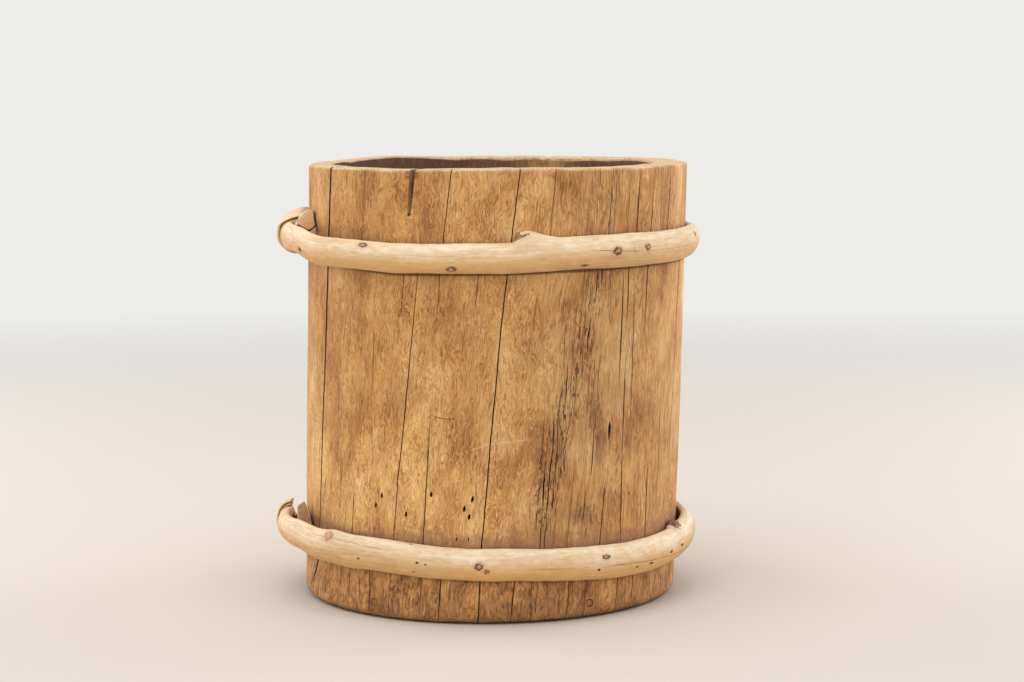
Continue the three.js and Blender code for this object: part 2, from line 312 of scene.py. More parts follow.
def trunk_material():
    s = Shader("trunk wood")
    grain = s.attribute("grain", "Vector")
    curl = s.attribute("curl")

    # The grain sways slowly, and curls where the curl is high
    slow = s.noise(grain, (48, 48, 80), detail=2, output="Color")
    quick = s.noise(grain, (9, 9, 16), detail=2, output="Color")
    waves = s.scale(s.vector_math("MULTIPLY", quick, (9, 9, 7)), curl)
    swayed = s.vector_math("ADD", grain, s.vector_math("MULTIPLY", slow, (16, 16, 20)))
    bent = s.vector_math("ADD", swayed, waves)
    zone = s.noise(bent, (32, 32, 58), detail=5, roughness=0.62)
    figure = s.noise(bent, (2.4, 2.4, 7.5), detail=3, roughness=0.6, distortion=0.8)
    fibre = s.noise(bent, (1.0, 1.0, 15), detail=3, roughness=0.6)
    layers = s.times(s.noise(bent, (9, 9, 42), detail=2, roughness=0.4), 14.0)
    contours = s.math("PINGPONG", layers, 0.5)
    curly = s.span(s.noise(grain, (34, 34, 60), detail=3), 0.42, 0.6, 0.2, 1.0)
    loops = s.times(s.math("SUBTRACT", contours, 0.25), curly)
    hair = s.noise(bent, (0.9, 0.9, 60), detail=1)
    streaks = s.noise(swayed, (1.3, 1.3, 42), detail=3, roughness=0.6)
    fibre_share = s.span(curl, 0.35, 1.0, 0.3, 1.0)
    streak_share = s.span(curl, 0.35, 1.0, 0.7, 0.0)
    lines = s.weigh((fibre, fibre_share), (streaks, streak_share))
    tone = s.weigh((zone, 0.41), (figure, 0.08), (loops, 0.19), (lines, 0.32), (hair, 0.19))
    outside = s.ramp(tone, TRUNK_STOPS)
    for name, factor in TINTS.items():
        outside = s.tint(s.attribute(name), outside, factor)
    greying = s.noise(grain, (30, 30, 46), detail=3)
    outside = s.tint(s.span(greying, 0.48, 0.6, 0.0, 0.7), outside, (0.96, 1.0, 1.16))
    russet = s.times(s.attribute("russet"), s.span(zone, 0.38, 0.6, 1.2, 0.5), clamp=True)
    outside = s.tint(russet, outside, (0.76, 0.66, 0.60))

    # Brown lines along the grain, and a pale scratch and a dark nick across it
    broken = s.span(s.noise(grain, (12, 12, 30), detail=2), 0.46, 0.56)
    for size, half_width, strength, brown in THREADS:
        thread = s.beside(s.noise(swayed, size, detail=2), 0.5, 0.004, half_width, strength)
        outside = s.mix(s.times(thread, broken), outside, brown)
    scratch = s.beside(s.attribute("scratch"), 0.0, 0.3, 0.9, 0.6)
    outside = s.mix(s.times(scratch, s.span(figure, 0.4, 0.55)), outside, (0.74, 0.54, 0.34))
    nick = s.math("ADD", s.attribute("nick"), s.span(figure, 0.3, 0.7, -0.5, 0.5))
    outside = s.mix(s.beside(nick, 0.0, 0.25, 0.7, 0.85), outside, (0.10, 0.042, 0.016))

    # Grey-brown weathering with short dark lines along the grain
    weathered = s.attribute("weathered")
    ticks = s.noise(bent, (0.85, 0.85, 18), detail=2, roughness=0.5)
    reach = s.span(weathered, 0.05, 0.9, 0.74, 0.56)
    worn_lines = s.span(s.math("SUBTRACT", ticks, reach), 0.0, 0.03)
    outside = s.mix(s.times(weathered, 0.14), outside, (0.29, 0.14, 0.06))
    outside = s.mix(s.times(worn_lines, 0.92), outside, (0.06, 0.025, 0.010))

    # A tide mark above the lower hoop, and a painted shadow as a dark line close under each hoop
    lapping = s.noise(grain, (16, 16, 7), detail=4, roughness=0.6)
    level = s.math("SUBTRACT", s.attribute("tide"), s.span(lapping, 0.25, 0.75, 0.0, 18.0))
    tide = s.times(s.span(level, 6.0, -3.0), s.span(figure, 0.3, 0.6, 0.35, 0.75))
    outside = s.mix(tide, outside, (0.31, 0.145, 0.070))
    outside = s.mix(s.beside(s.attribute("under"), -1.0, 0.5, 1.9, 0.85), outside, (0.05, 0.022, 0.009))

    # The foot is browner and mottled, with short checks
    foot = s.attribute("foot")
    fine_soil = s.noise(swayed, (1.7, 1.7, 5), detail=4, roughness=0.7)
    broad_soil = s.noise(swayed, (9, 9, 20), detail=3)
    soiled = s.ramp(s.weigh((fine_soil, 0.6), (broad_soil, 0.4)), FOOT_STOPS)
    outside = s.mix(s.times(foot, 0.8), outside, soiled)
    checks = s.span(s.noise(swayed, (1.3, 1.3, 34), detail=2), 0.59, 0.65, 0.0, 0.7)
    outside = s.mix(s.times(foot, checks), outside, (0.10, 0.038, 0.013))

    # Dirt and stains, with painted shade next to the hoops and, along with dirt, at the foot's bottom edge
    patchy = s.times(s.attribute("stain_and_shade"), s.span(figure, 0.3, 0.62, 0.5, 1.0))
    outside = s.mix(s.times(patchy, 0.75, clamp=True), outside, (0.17, 0.075, 0.032))

    # The hollow is dark
    inside = s.ramp(s.weigh((zone, 0.4), (hair, 0.35), (fibre, 0.25)), HOLLOW_STOPS)
    colour = s.mix(s.attribute("inside"), outside, inside)

    # Worn, sawn rim with growth rings
    speckle = s.noise(grain, (1.4, 1.4, 5), detail=3, roughness=0.6)
    plan = s.length(s.vector_math("MULTIPLY", grain, (1, 1, 0)))
    ring = s.math("SINE", s.times(s.math("ADD", plan, s.times(zone, 9.0)), 2.6))
    rim_tone = s.weigh((speckle, 0.62), (s.span(ring, -1.0, 1.0), 0.14), (zone, 0.24))
    colour = s.mix(s.attribute("wear"), colour, s.ramp(rim_tone, RIM_STOPS))

    # Painted shadows beside the hoops' cut ends; painted shade in splits, holes and the slot, and with dirt
    # along the foot's bottom edge
    colour = s.mix(s.beside(s.attribute("end_shadow"), 0.0, 2.0, 3.6, 0.97), colour, CAVITY_SHADE_COLOUR)
    colour = s.mix(s.span(s.attribute("cavity_shade"), 0.22, 0.6), colour, CAVITY_SHADE_COLOUR)
    height = s.weigh((lines, 0.6), (figure, 0.5), (hair, 0.25), (worn_lines, -0.8))
    return s.finish(colour, s.span(tone, 0.35, 0.65, 0.86, 0.66), height, 0.6)


def draw_marks(s, grain, colour):
    """Knots, holes and torn ends of a branch, drawn from its own coordinates about each mark."""
    ragged = s.span(s.noise(grain, (2.4, 1.5, 1.5), detail=2), 0.3, 0.7, -0.35, 0.35)
    knot = s.math("ADD", s.length(s.attribute("knot", "Vector")), ragged)
    is_pale = s.attribute("heart")
    core = s.mix(s.span(knot, 0.85, 0.4), (0.15, 0.080, 0.032), (0.46, 0.26, 0.11))
    heart = s.mix(is_pale, core, (0.60, 0.35, 0.18))
    colour = s.mix(s.span(knot, 2.3, 1.0, 0.0, 0.6), colour, (0.52, 0.27, 0.11))
    colour = s.mix(s.span(knot, 1.05, 0.85), colour, heart)
    edge = s.times(s.beside(knot, 0.98, 0.1, 0.32, 0.85), s.span(is_pale, 0, 1, 1.0, 0.4))
    colour = s.mix(edge, colour, (0.06, 0.028, 0.012))
    pit = s.math("ADD", s.length(s.attribute("pit", "Vector")), ragged)
    colour = s.mix(s.span(pit, 2.0, 1.0, 0.0, 0.45), colour, (0.50, 0.25, 0.09))
    colour = s.mix(s.span(pit, 1.15, 0.8, 0.0, 0.95), colour, (0.045, 0.02, 0.009))
    fibres = s.noise(grain, (2.2, 2.2, 2.2), detail=3, roughness=0.65)
    return s.mix(s.span(s.attribute("torn"), -0.15, 0.15), colour, s.ramp(fibres, TORN_STOPS))


def wood_material(
    name, stops, streak=(60, 1.6, 1.6), mottle=(120, 16, 16), roughness=(0.72, 0.5), patina_and_shade=None,
    marked=False, crevice_shade=True, bump=0.3
):
    """Straight-grained wood whose grain runs along the first axis of its grain attribute."""
    s = Shader(name)
    grain = s.attribute("grain", "Vector")
    fine = s.noise(grain, streak, detail=3, roughness=0.6)
    broad = s.noise(grain, mottle, detail=4, roughness=0.6, distortion=0.4)
    fleck = s.noise(grain, (9, 2.6, 2.6), detail=3, roughness=0.65)
    tone = s.weigh((fine, 0.3), (broad, 0.46), (fleck, 0.24))
    colour = s.ramp(tone, stops)
    if patina_and_shade:
        # Painted shade: this attribute browns the lower sides of hoops, strips and their cut ends, along
        # with random brown patina
        aged_and_shaded = s.times(s.attribute("patina_and_shade"), s.span(broad, 0.3, 0.65, 0.6, 1.0))
        colour = s.tint(aged_and_shaded, colour, patina_and_shade)
        broken = s.span(s.noise(grain, (7, 3, 3), detail=2), 0.33, 0.40)
        crack = s.times(s.beside(s.attribute("crack"), 0.0, 0.2, 0.5, 0.9), broken)
        colour = s.mix(crack, colour, (0.13, 0.058, 0.022))
    if marked:
        blush = s.noise(grain, (11, 4.5, 4.5), detail=3, roughness=0.65)
        colour = s.mix(s.span(blush, 0.5, 0.66, 0.0, 0.55), colour, (0.68, 0.41, 0.15))
        colour = s.tint(s.span(blush, 0.47, 0.36, 0.0, 0.6), colour, (1.08, 1.10, 1.16))
        colour = draw_marks(s, grain, colour)
    if crevice_shade:
        # Painted shade: near-black colour in crevices, where other wood is close by
        open_sky = s.node("ShaderNodeAmbientOcclusion", {"Distance": CREVICE_SHADE_REACH}, samples=8).outputs["AO"]
        colour = s.mix(s.span(open_sky, 0.5, 0.12, 0.0, 0.94), colour, CAVITY_SHADE_COLOUR)
    # Painted shade, placed by an attribute of each piece
    colour = s.mix(s.attribute("cavity_shade"), colour, CAVITY_SHADE_COLOUR)
    height = s.weigh((fine, 0.6), (fleck, 0.4))
    return s.finish(colour, s.span(tone, 0.35, 0.65, *roughness), height, bump)


DRY = (0.92, 0.78)
TRUNK_WOOD = trunk_material()
HOOP_WOOD = wood_material("peeled branch", HOOP_STOPS, patina_and_shade=(0.87, 0.58, 0.26), marked=True)
STRIP_WOOD = wood_material("split strip", STRIP_STOPS, streak=(50, 0.9, 0.9), patina_and_shade=(0.80, 0.50, 0.20))
WEDGE_WOOD = wood_material("split chip", WEDGE_STOPS, streak=(30, 1, 1), roughness=(0.9, 0.75), bump=0.5)
PLANK_WOOD = wood_material("bottom board", PLANK_STOPS, mottle=(160, 30, 30), roughness=DRY, bump=0.45)
PEG_WOOD = wood_material("peg", PEG_STOPS, roughness=DRY, crevice_shade=False, bump=0.45)


def pin_material():
    """Split bamboo: pale, with fibres along the pin, which lies along Y."""
    s = Shader("bamboo pin")
    place_on = s.node("ShaderNodeTexCoord", {}).outputs["Object"]
    scaled = s.vector_math("MULTIPLY", place_on, (1000, 1000, 1000))
    fibres = s.noise(scaled, (0.6, 30, 0.6), detail=3)
    colour = s.ramp(fibres, [(0.35, (0.36, 0.22, 0.07)), (0.65, (0.60, 0.43, 0.18))])
    return s.finish(colour, s.span(fibres, 0.3, 0.7, 0.75, 0.5), fibres, 0.3)


# Hoops: peeled branches split in half, with the marks that show on them
Station = namedtuple("Station", "turn rise height thickness slack", defaults=(0,))
UPPER_STATIONS = [Station(*row) for row in (
    (0, 24.5, 18, 12.5), (6, 18.5, 17.5, 10.5), (14, 14.5, 18.5, 10), (35, 14, 20, 12), (110, 10, 25, 12),
    (200, 4, 27.5, 12.5, 0.5), (270, 3, 28.5, 12.5), (288, 0, 25, 12), (318, -1.2, 24.5, 11.5),
    (342, 2.2, 24.5, 11), (358, 10, 23, 9.5), (365, 10.2, 24, 8.7), (372, 8.6, 22.5, 7.8),
    (386, 9.5, 21, 7.6), (392, 6.5, 15, 7.5), (398, 5, 11, 7),
)]
LOWER_STATIONS = [Station(*row) for row in (
    (0, 25, 20, 12.5), (3, 17, 17, 5.5), (8, 4, 15, 6), (14, 1.5, 18, 8), (35, 2, 19, 12),
    (110, 10, 26, 12.5, 1), (200, 1, 31, 14, 4), (240, -4.5, 30, 13.5), (290, 0, 27, 12.5),
    (330, 5.3, 28.5, 12), (342, 7, 27.5, 11.5), (354, 11.2, 25, 11), (364, 10.8, 21.5, 10.5),
    (380, 9.2, 19, 10), (387, 9.0, 18.5, 9.5), (392, 2.5, 11, 8), (398, 0.5, 8, 7),
)]
UPPER_LEVEL = TRUNK_HEIGHT - 71.5
LOWER_LEVEL = 51.5
HOOP_RADIUS = 176.0
SECTION_RADIUS = 12.5
HOOP_RINGS = 900
ROUND_POINTS = 64
END_RINGS = (0.97, 0.75, 0.5, 0.25)
FAR = 40.0

# Marks lie at a turn along the hoop and a tilt round its section: 90 is its top, 0 outwards, -90 below
Mark = namedtuple("Mark", "kind turn tilt length height")
Line = namedtuple("Line", "width points")


def list_marks(table):
    """Marks from a table of kinds, each with rows of turn, tilt, half length and half height."""
    return [Mark(kind, *row) for kind, rows in table.items() for row in rows]


UPPER_MARKS = list_marks({
    "knot": [
        (328.1, 48, 3.6, 2.0), (301.7, -39, 3.8, 2.2), (255.5, 3, 3.4, 2.6), (244.6, 9, 2.7, 2.0),
        (214, 30, 2.6, 2.0), (168, -10, 3.2, 2.4), (131, 25, 2.4, 1.8), (92, -20, 2.8, 2.0),
        (60, 15, 2.2, 1.7),
    ],
    "dent": [(277.3, -21, 4, 2), (110, 10, 6, 3)],
    "hole": [(265.1, -48, 3.6, 1.1), (354.6, -8, 1.0, 1.0), (351.0, -25, 2.4, 2.6), (152, 40, 1.2, 1.0)],
})
LOWER_MARKS = list_marks({
    "hump": [(337.5, 72, 9, 5)],
    "pale knot": [(338.2, 46, 3.4, 3.2)],
    "knot": [
        (292.7, 3, 3.3, 2.2), (290.6, -15, 1.8, 1.4), (256.6, 24, 2.8, 1.5), (180, 10, 3.0, 2.2),
        (140, -18, 2.4, 1.9), (100, 35, 2.6, 2.0), (70, 0, 2.4, 1.8),
    ],
    "dent": [(160, 0, 7, 3)],
    "hole": [
        (327.9, -17, 1.1, 0.9), (309.9, -2, 1.0, 0.9), (307.5, -6, 0.9, 0.8), (311.0, -42, 1.6, 0.7),
        (258.8, -18, 1.2, 0.9), (312.9, 83, 2.2, 1.0), (198, 25, 1.3, 1.0), (244.8, -28, 1.5, 0.8),
        (238.8, -24, 2.2, 0.9), (228.8, -8, 1.6, 0.9), (221.9, -5, 2.0, 1.0),
    ],
})

# Fine cracks: width, and points as (turn, tilt)
UPPER_LINES = [Line(*row) for row in (
    (0.5, [(323.5, 49), (319.6, 53)]), (0.7, [(264.2, 8), (255.5, 4), (246.5, -3)]),
    (0.5, [(190, 12), (172, 4), (160, 8)]), (0.5, [(120, -15), (104, -8)]),
    (0.4, [(312, 14), (297, 8)]), (0.9, [(366, 58), (357, 56)]),
)]
LOWER_LINES = [Line(*row) for row in (
    (0.6, [(345.2, 41), (338, 44), (319.7, 26)]),
    (0.8, [(258.6, -8), (244.3, -8), (222, -24), (209.2, -36)]),
    (0.5, [(277.6, -9), (261.8, -5)]), (0.5, [(170, 20), (150, 12)]), (0.5, [(359.8, 12), (359.0, -2)]),
)]

# Whittled faces of the hoops' inner ends, as (distance off the wall, height)
UPPER_END = [
    (6.7, 344.8), (3.2, 343.6), (0.9, 329.6), (7.1, 327.0), (15.5, 332.0), (16.6, 335.6), (12.5, 339.8),
]
LOWER_END = [(14.6, 84.0), (8.6, 87.6), (7.0, 85.4), (4.4, 76.0), (1.7, 65.0), (8.1, 66.0), (14.5, 73.0)]


def station_values(stations, turn):
    """Rise, height, thickness and slack at each turn, eased from station to station."""
    table = np.array(stations)
    k = np.clip(np.searchsorted(table[:, 0], turn, side="right") - 1, 0, len(table) - 2)
    share = smoothstep(turn, table[k, 0], table[k + 1, 0])
    return lerp(table[k], table[k + 1], share[:, None])[:, 1:].T


def stand_off(stations, turn, slack):
    """How far a hoop's flat side stands off the wall: over a strip, close, then over its own start."""
    inner = lerp(TUCK, WALL_GAP + slack, smoothstep(turn, *TUCK_TURNS))
    return lerp(inner, TUCK + stations[0].thickness + LAYER_GAP, smoothstep(turn, *LIFT_TURNS))


def hoop_edges(level, stations, angle):
    """Heights of a hoop's lower and upper edges where it lies against the wall at an angle."""
    turn = (HOOP_START - angle) % 360
    rise, height, _, _ = station_values(stations, turn.ravel())
    middle = level + rise.reshape(turn.shape)
    half = height.reshape(turn.shape) / 2
    return middle - half, middle + half


# Trunk wall: columns follow the grain, and each guide is a line where the wall splits
Split = namedtuple("Split", "low high width depth")
Guide = namedtuple("Guide", "path splits wander has_slot", defaults=(0.13, False))
Lane = namedtuple("Lane", "guide angles half depth cluster")
TOP = TRUNK_HEIGHT
TO_DEGREES = math.degrees(1 / RIM_RADIUS)
LANE_GAP = 0.5

# Columns across a split, in half widths from its middle, and the share of its depth that each one takes
WIDE_CLUSTER = (-1.25, -1.0, -0.85, -0.4, 0.4, 0.85, 1.0, 1.25)
FINE_CLUSTER = (-1.25, -0.5, 0.5, 1.25)
SLOT_CLUSTER = (-2.0, -1.0, -0.99, -0.97, 0.0, 0.97, 0.99, 1.0, 2.0)
GROOVE = ((0, 0.4, 0.85, 1.0), (1, 0.9, 0.45, 0))

# The open slot at the rim; columns within SLOT_SIDE half widths run along its floor, raised by the lifts
SLOT_PATH = [(381, -24.7), (343, -25.8), (294, -27.0), (190, -29.3)]
SLOT_SPLIT = Split(262, 318, 0.7, 2.5)
SLOT_FLOOR = 344.5
SLOT_FLOOR_WIDTH = 3.4
SLOT_TOP_WIDTH = 5.4
SLOT_SIDE = 0.98
SLOT_LIFTS = (1.6, 0.0, 1.6)
SLOT_SHADES = (0.36, 0.96)

# Splits that show from the front: a path of (height, angle), then rows of low, high, width and depth
FRONT_SPLITS = [
    ([(381, -57.8), (295, -59.3), (180, -61.9), (72, -63.8), (38, -64.7), (25, -67.2), (14, -71.5)],
     (14, TOP, 2.4, 12), (10, 60, 2.8, 12)),
    ([(381, -20.4), (294, -22.6), (223, -24.8), (172, -26.2), (121, -28.2), (68, -29.4), (26, -30.5)],
     (2, 330, 1.0, 6)),
    ([(381, -12.9), (349, -14.1), (295, -15.9), (165, -18.2), (67, -19.8), (9, -20.6)],
     (258, TOP, 0.8, 3), (6, 182, 0.95, 5)),
    ([(381, 6.5), (328, 4.6), (295, 3.4), (241, 1.8), (149, -0.5), (66, -2.3), (4, -3.0)],
     (0, TOP, 1.05, 7)),
    ([(381, -2.4), (293, -4.8), (200, -7.4), (120, -9.0)], (262, 300, 0.6, 2)),
    ([(381, 16.0), (330, 15.6), (272, 14.4), (190, 12.6)], (284, TOP, 0.9, 5)),
    ([(381, -41.0), (250, -43.6)], (300, TOP, 0.6, 1.5), (120, 176, 0.5, 1.5)),
    ([(110, -50.6), (72, -51.2)], (30, 128, 0.7, 2), (210, 250, 0.6, 1.5)),
    ([(108, -44.6), (68, -45.4)], (2, 112, 1.0, 3)),
    ([(381, -36.6), (60, -38.2), (25, -37.6)], (2, 52, 1.1, 4), (196, 246, 0.7, 2), (150, 172, 0.6, 2)),
    ([(60, -13.6), (4, -14.8)], (2, 46, 1.1, 3)),
    ([(60, 8.2), (4, 6.6)], (2, 48, 1.0, 3)),
    ([(381, 42.9), (291, 42.4), (159, 41.7), (59, 42.0)],
     (255, 306, 1.2, 4), (140, 222, 1.1, 4), (58, 146, 1.1, 3), (2, 50, 1.0, 3)),
    ([(381, 40.8), (300, 40.4), (170, 39.4)], (196, 296, 1.2, 4), (318, 366, 0.8, 3)),
    ([(381, 46.2), (320, 45.2), (60, 44.4)], (312, 378, 1.2, 4), (168, 284, 1.0, 3)),
    ([(381, 53.3), (285, 50.8), (60, 48.8)], (236, 372, 1.2, 4), (2, 46, 1.0, 3)),
    ([(381, 57.6), (111, 53.6), (63, 53.3)], (46, 126, 1.2, 4), (330, 360, 0.8, 2)),
    ([(371, 62.5), (326, 61.5), (60, 59.4)], (318, 374, 1.2, 3), (90, 190, 0.8, 2)),
    ([(200, 37.2), (150, 36.4)], (154, 168, 2.6, 6), (60, 112, 0.8, 3)),
]

# Worm holes as (height, angle); those on one line share its columns
HOLES = [
    [(106, -33.6)], [(97, -35.7), (77, -36.2)], [(92, -25.4)], [(110, -17.4)],
    [(107, -5.2), (92, -6.1), (73, -6.2)], [(99, -7.5)], [(73, -9.9)], [(103, 44.5)], [(92, 48.8)],
]

# The weathered belt right of the middle lies between these two lines, with splits on some of its own lines
BELT_LEFT = [(381, 18.6), (297, 17.2), (235, 16.4), (139, 14.6), (67, 13.2), (4, 12.4)]
BELT_RIGHT = [(381, 37.0), (299, 35.4), (187, 33.2), (120, 31.8), (64, 30.2), (4, 29.0)]
BELT_LINES = 13
BELT_HEIGHTS = (381, 297, 235, 187, 139, 100, 67, 4)
BELT_SPLITS = {
    0: [(0, 50, 0.8, 3)], 1: [(54, 92, 0.9, 4), (100, 131, 1.3, 5)],
    2: [(62, 88, 0.8, 4), (94, 142, 1.1, 5), (150, 178, 0.9, 4)],
    3: [(140, 196, 0.9, 4)], 4: [(170, 215, 0.9, 4)], 7: [(54, 128, 0.9, 5)],
    8: [(0, 46, 0.8, 3)], 10: [(84, 112, 1.0, 5)],
    11: [(122, 156, 1.0, 4), (192, 216, 0.8, 3), (302, 374, 0.9, 4)],
    12: [(0, 48, 0.8, 3), (266, TOP, 0.9, 5)],
}

# Soft patches as angle, height, half width, half height and strength: where the weathering is heaviest,
# dark stains, and broad reddish patches
WEATHERED = [
    (29, 288, 3.5, 26, 0.8), (27.5, 240, 4, 32, 1.0), (23, 190, 4, 30, 1.1), (19, 150, 3.5, 28, 1.1),
    (16, 105, 4.5, 40, 1.1), (29, 92, 4.5, 14, 1.1), (31, 165, 2.4, 30, 1.0), (34, 345, 4, 36, 0.8),
    (24, 30, 8, 22, 0.8), (46, 300, 6, 60, 0.35), (33, 290, 4, 20, 0.6), (-44, 190, 5, 30, 0.3),
]
STAINS = [
    (33.0, 144, 1.4, 12, 2.2), (34.6, 156, 1.2, 7, 1.2), (27.2, 88, 2.8, 8, 1.0), (22, 94, 2.2, 7, 0.6),
    (-32, 8, 5, 6, 1.3), (-36, 13, 2.5, 5, 1.0), (30.7, 12.5, 3, 6, 1.1), (16.7, 14, 1.6, 5, 1.0),
    (-8, 6, 6, 5, 0.6), (39.4, 22, 1.4, 4, 0.9), (44, 8, 6, 6, 0.7), (1, 16, 4, 8, 0.5),
    (26.5, 24, 1.6, 5, 0.9),
]
RUSSET = [
    (-13, 268, 6, 15, 0.8), (-7, 244, 5, 18, 0.9), (-40, 225, 5, 26, 0.6), (-46, 190, 5, 20, 0.5),
    (10, 128, 15, 44, 0.5), (15, 74, 7, 18, 0.6), (46, 165, 9, 28, 0.6), (-32, 345, 6, 18, 0.5),
    (28, 350, 8, 26, 0.5), (100, 150, 16, 60, 0.5), (150, 260, 14, 50, 0.5), (205, 120, 18, 50, 0.5),
    (250, 290, 14, 40, 0.5),
]

# Painted shadows on the wall beside the hoops' cut ends, as (height, angle)
UPPER_END_SHADOW = [(346, -71.5), (334, -69.6), (322, -66.8)]
LOWER_END_SHADOW = [(79.5, -78.4), (73, -73.2), (64, -68.6)]

# A pale scratch and a dark nick across the grain, as (angle, height)
SCRATCH = [(-10.6, 144), (-0.5, 154), (11.1, 157)]
NICK = [(-17, 176.6), (-13.6, 174.4), (-10.4, 174.9)]


def patches(table, angle, z):
    """The sum of a table's soft patches at each place."""
    total = 0
    for centre, height, half_angle, half_height, strength in table:
        away = turn_difference(angle, centre)
        total = total + strength * spot(away, z, 0, height, half_angle, half_height)
    return total


def path_angles(path, z):
    """A path's angle at each height; past its ends it follows the grain."""
    heights, angles = zip(*sorted(path))
    beyond = z - np.clip(z, heights[0], heights[-1])
    return np.interp(z, heights, angles) + GRAIN_TWIST * beyond


def hole_split(z, angle):
    """A worm hole is a very short split; the lowest ones and those at the right are small."""
    is_small = angle > 40 or z < 80
    reach, width, depth = (1.3, 1.2, 5) if is_small else (2.4, 2.2, 9)
    return Split(z - reach, z + reach, width, depth)


def front_guides():
    """The splits, the slot and the worm holes that show from the front."""
    guides = [Guide(path, [Split(*row) for row in rows]) for path, *rows in FRONT_SPLITS]
    guides.append(Guide(SLOT_PATH, [SLOT_SPLIT], wander=0.02, has_slot=True))
    for path in HOLES:
        first_angle = path[0][1]
        clear_of_slot = [(TOP, first_angle + 2.8)] if first_angle < -30 else []
        guides.append(Guide(path + clear_of_slot, [hole_split(*hole) for hole in path]))
    return guides


def belt_guides():
    """Short fissures along parallel lines in the weathered belt, more of them where it is heavier."""
    guides = []
    for number, share in enumerate(np.linspace(0, 1, BELT_LINES)):
        path = [(z, float(lerp(path_angles(BELT_LEFT, z), path_angles(BELT_RIGHT, z), share)))
                for z in BELT_HEIGHTS]
        splits = [Split(*row) for row in BELT_SPLITS.get(number, [])]
        z = 6 + 20 * rng.random()
        while z < 370:
            length = rng.uniform(8, 40)
            middle = z + length / 2
            strength = min(1, patches(WEATHERED, path_angles(path, middle), middle))
            if rng.random() < 0.12 + 0.8 * strength:
                width = 0.35 + 0.75 * strength * rng.random()
                splits.append(Split(z, z + length, width, 1.5 + 4 * strength))
            z += length * rng.uniform(0.9, 1.3)
        guides.append(Guide(path, splits, wander=0.26))
    return guides


def back_guides():
    """Splits round the sides and the back, in keeping with the front."""
    guides = []
    angle = 70.0
    while angle < 290:
        path = [(TOP, angle + GRAIN_TWIST * TOP / 2), (0, angle - GRAIN_TWIST * TOP / 2)]
        splits = []
        if rng.random() < 0.2:
            top = TOP if rng.random() < 0.6 else rng.uniform(230, 340)
            splits.append(Split(rng.uniform(0, 120), top, rng.uniform(0.7, 1.3), 6))
        for _ in range(rng.integers(0, 3)):
            start = rng.uniform(0, 330)
            splits.append(Split(start, start + rng.uniform(20, 90), rng.uniform(0.35, 0.8), 2))
        guides.append(Guide(path, splits, wander=0.25))
        angle += rng.uniform(5, 15)
    return guides


def split_taper(split, z):
    """How far a split is open at each height: full in its middle, and also at the rim if it reaches it."""
    low, high = split.low, split.high
    if high >= TOP:
        high = 2 * TOP - low
    if low <= 0:
        low = -high
    t = np.clip((2 * z - low - high) / (high - low), -1, 1)
    return np.sqrt(1 - t * t)


def opened(splits, z):
    """Width and depth of a guide's splits at each height."""
    width = np.zeros_like(z)
    depth = np.zeros_like(z)
    for split in splits:
        taper = split_taper(split, z)
        width = np.maximum(width, split.width * taper)
        depth = np.maximum(depth, split.depth * taper)
    return width, depth


def outer_heights():
    low, high = HOLE_BAND
    below = np.arange(FOOT_ROUND + 2, low, ROW_STEP)
    band = np.arange(low, high, HOLE_ROW_STEP)
    above = np.linspace(high, TOP - RIM_ROUND - 1.5, int((TOP - high) / ROW_STEP))
    return np.concatenate([below, band, above])


def trunk_rows():
    """The wall's outline as rows of (share across the wall, shift outwards, height).

    They run from the foot up the outside, over the rim, down the inside and back under the foot.
    """
    rows = []
    for a in np.radians(np.linspace(-90, 0, 6)):
        rows.append((0, FOOT_ROUND * (math.cos(a) - 1), FOOT_ROUND * (1 + math.sin(a))))
    rows += [(0, 0, z) for z in outer_heights()]
    for a in np.radians(np.linspace(0, 90, 5)):
        rows.append((0, RIM_ROUND * (math.cos(a) - 1), TOP - RIM_ROUND * (1 - math.sin(a))))
    rows += [(share, 0, TOP) for share in (0.2, 0.4, 0.6, 0.8)]
    for a in np.radians(np.linspace(90, 180, 5)):
        rows.append((1, BORE_BEVEL * (1 + math.cos(a)), TOP - BORE_BEVEL * (1 - math.sin(a))))
    inner = np.linspace(TOP - BORE_BEVEL - 6, LEDGE_LEVEL, int(TOP / INNER_ROW_STEP))
    rows += [(1, 0, z) for z in (TOP - BORE_BEVEL - 0.8, TOP - BORE_BEVEL - 3, *inner)]
    rows += [(1, RABBET_DEPTH, LEDGE_LEVEL), (1, RABBET_DEPTH, LEDGE_LEVEL / 2), (1, RABBET_DEPTH, 0)]
    rows += [(share, 0, 0) for share in (0.65, 0.55)]
    return np.array(rows).T


def split_lane(number, guide, z):
    """A guide's angles, half widths and depths at each row, and its cluster of columns."""
    width, depth = opened(guide.splits, z)
    widest = max([split.width for split in guide.splits], default=0.6)
    half = np.maximum(width, 0.35 * widest) / 2
    cluster = WIDE_CLUSTER if widest > 0.9 else FINE_CLUSTER
    if guide.has_slot:
        cluster = SLOT_CLUSTER
        open_half = np.interp(z, [SLOT_FLOOR, TOP], [SLOT_FLOOR_WIDTH / 2, SLOT_TOP_WIDTH / 2])
        half = np.maximum(half, smoothstep(z, SLOT_FLOOR - 9, SLOT_FLOOR - 5) * open_half)
    quick = np.array([noise.noise((number * 3.7, h / 16, 0.5)) for h in z])
    slow = np.array([noise.noise((number, h / 45, 7.5)) for h in z])
    angles = path_angles(guide.path, z) + guide.wander * (quick + slow)
    return Lane(guide, angles, half, depth, cluster)


def slot_lining(share, above_floor):
    """How dark the painted shade on the slot's lining is along a column: its left side darkens from the
    front edge inwards.
    """
    progress = np.cumsum(above_floor) / above_floor.sum()  # from the slot's front over the rim to the bore
    pale, dark = SLOT_SHADES
    if share >= 0:
        return np.where(above_floor, dark, 0)
    onset = (0.5, 0.65) if share < -SLOT_SIDE else (0.1, 0.7)
    return np.where(above_floor, lerp(pale, dark, smoothstep(progress, *onset)), 0)


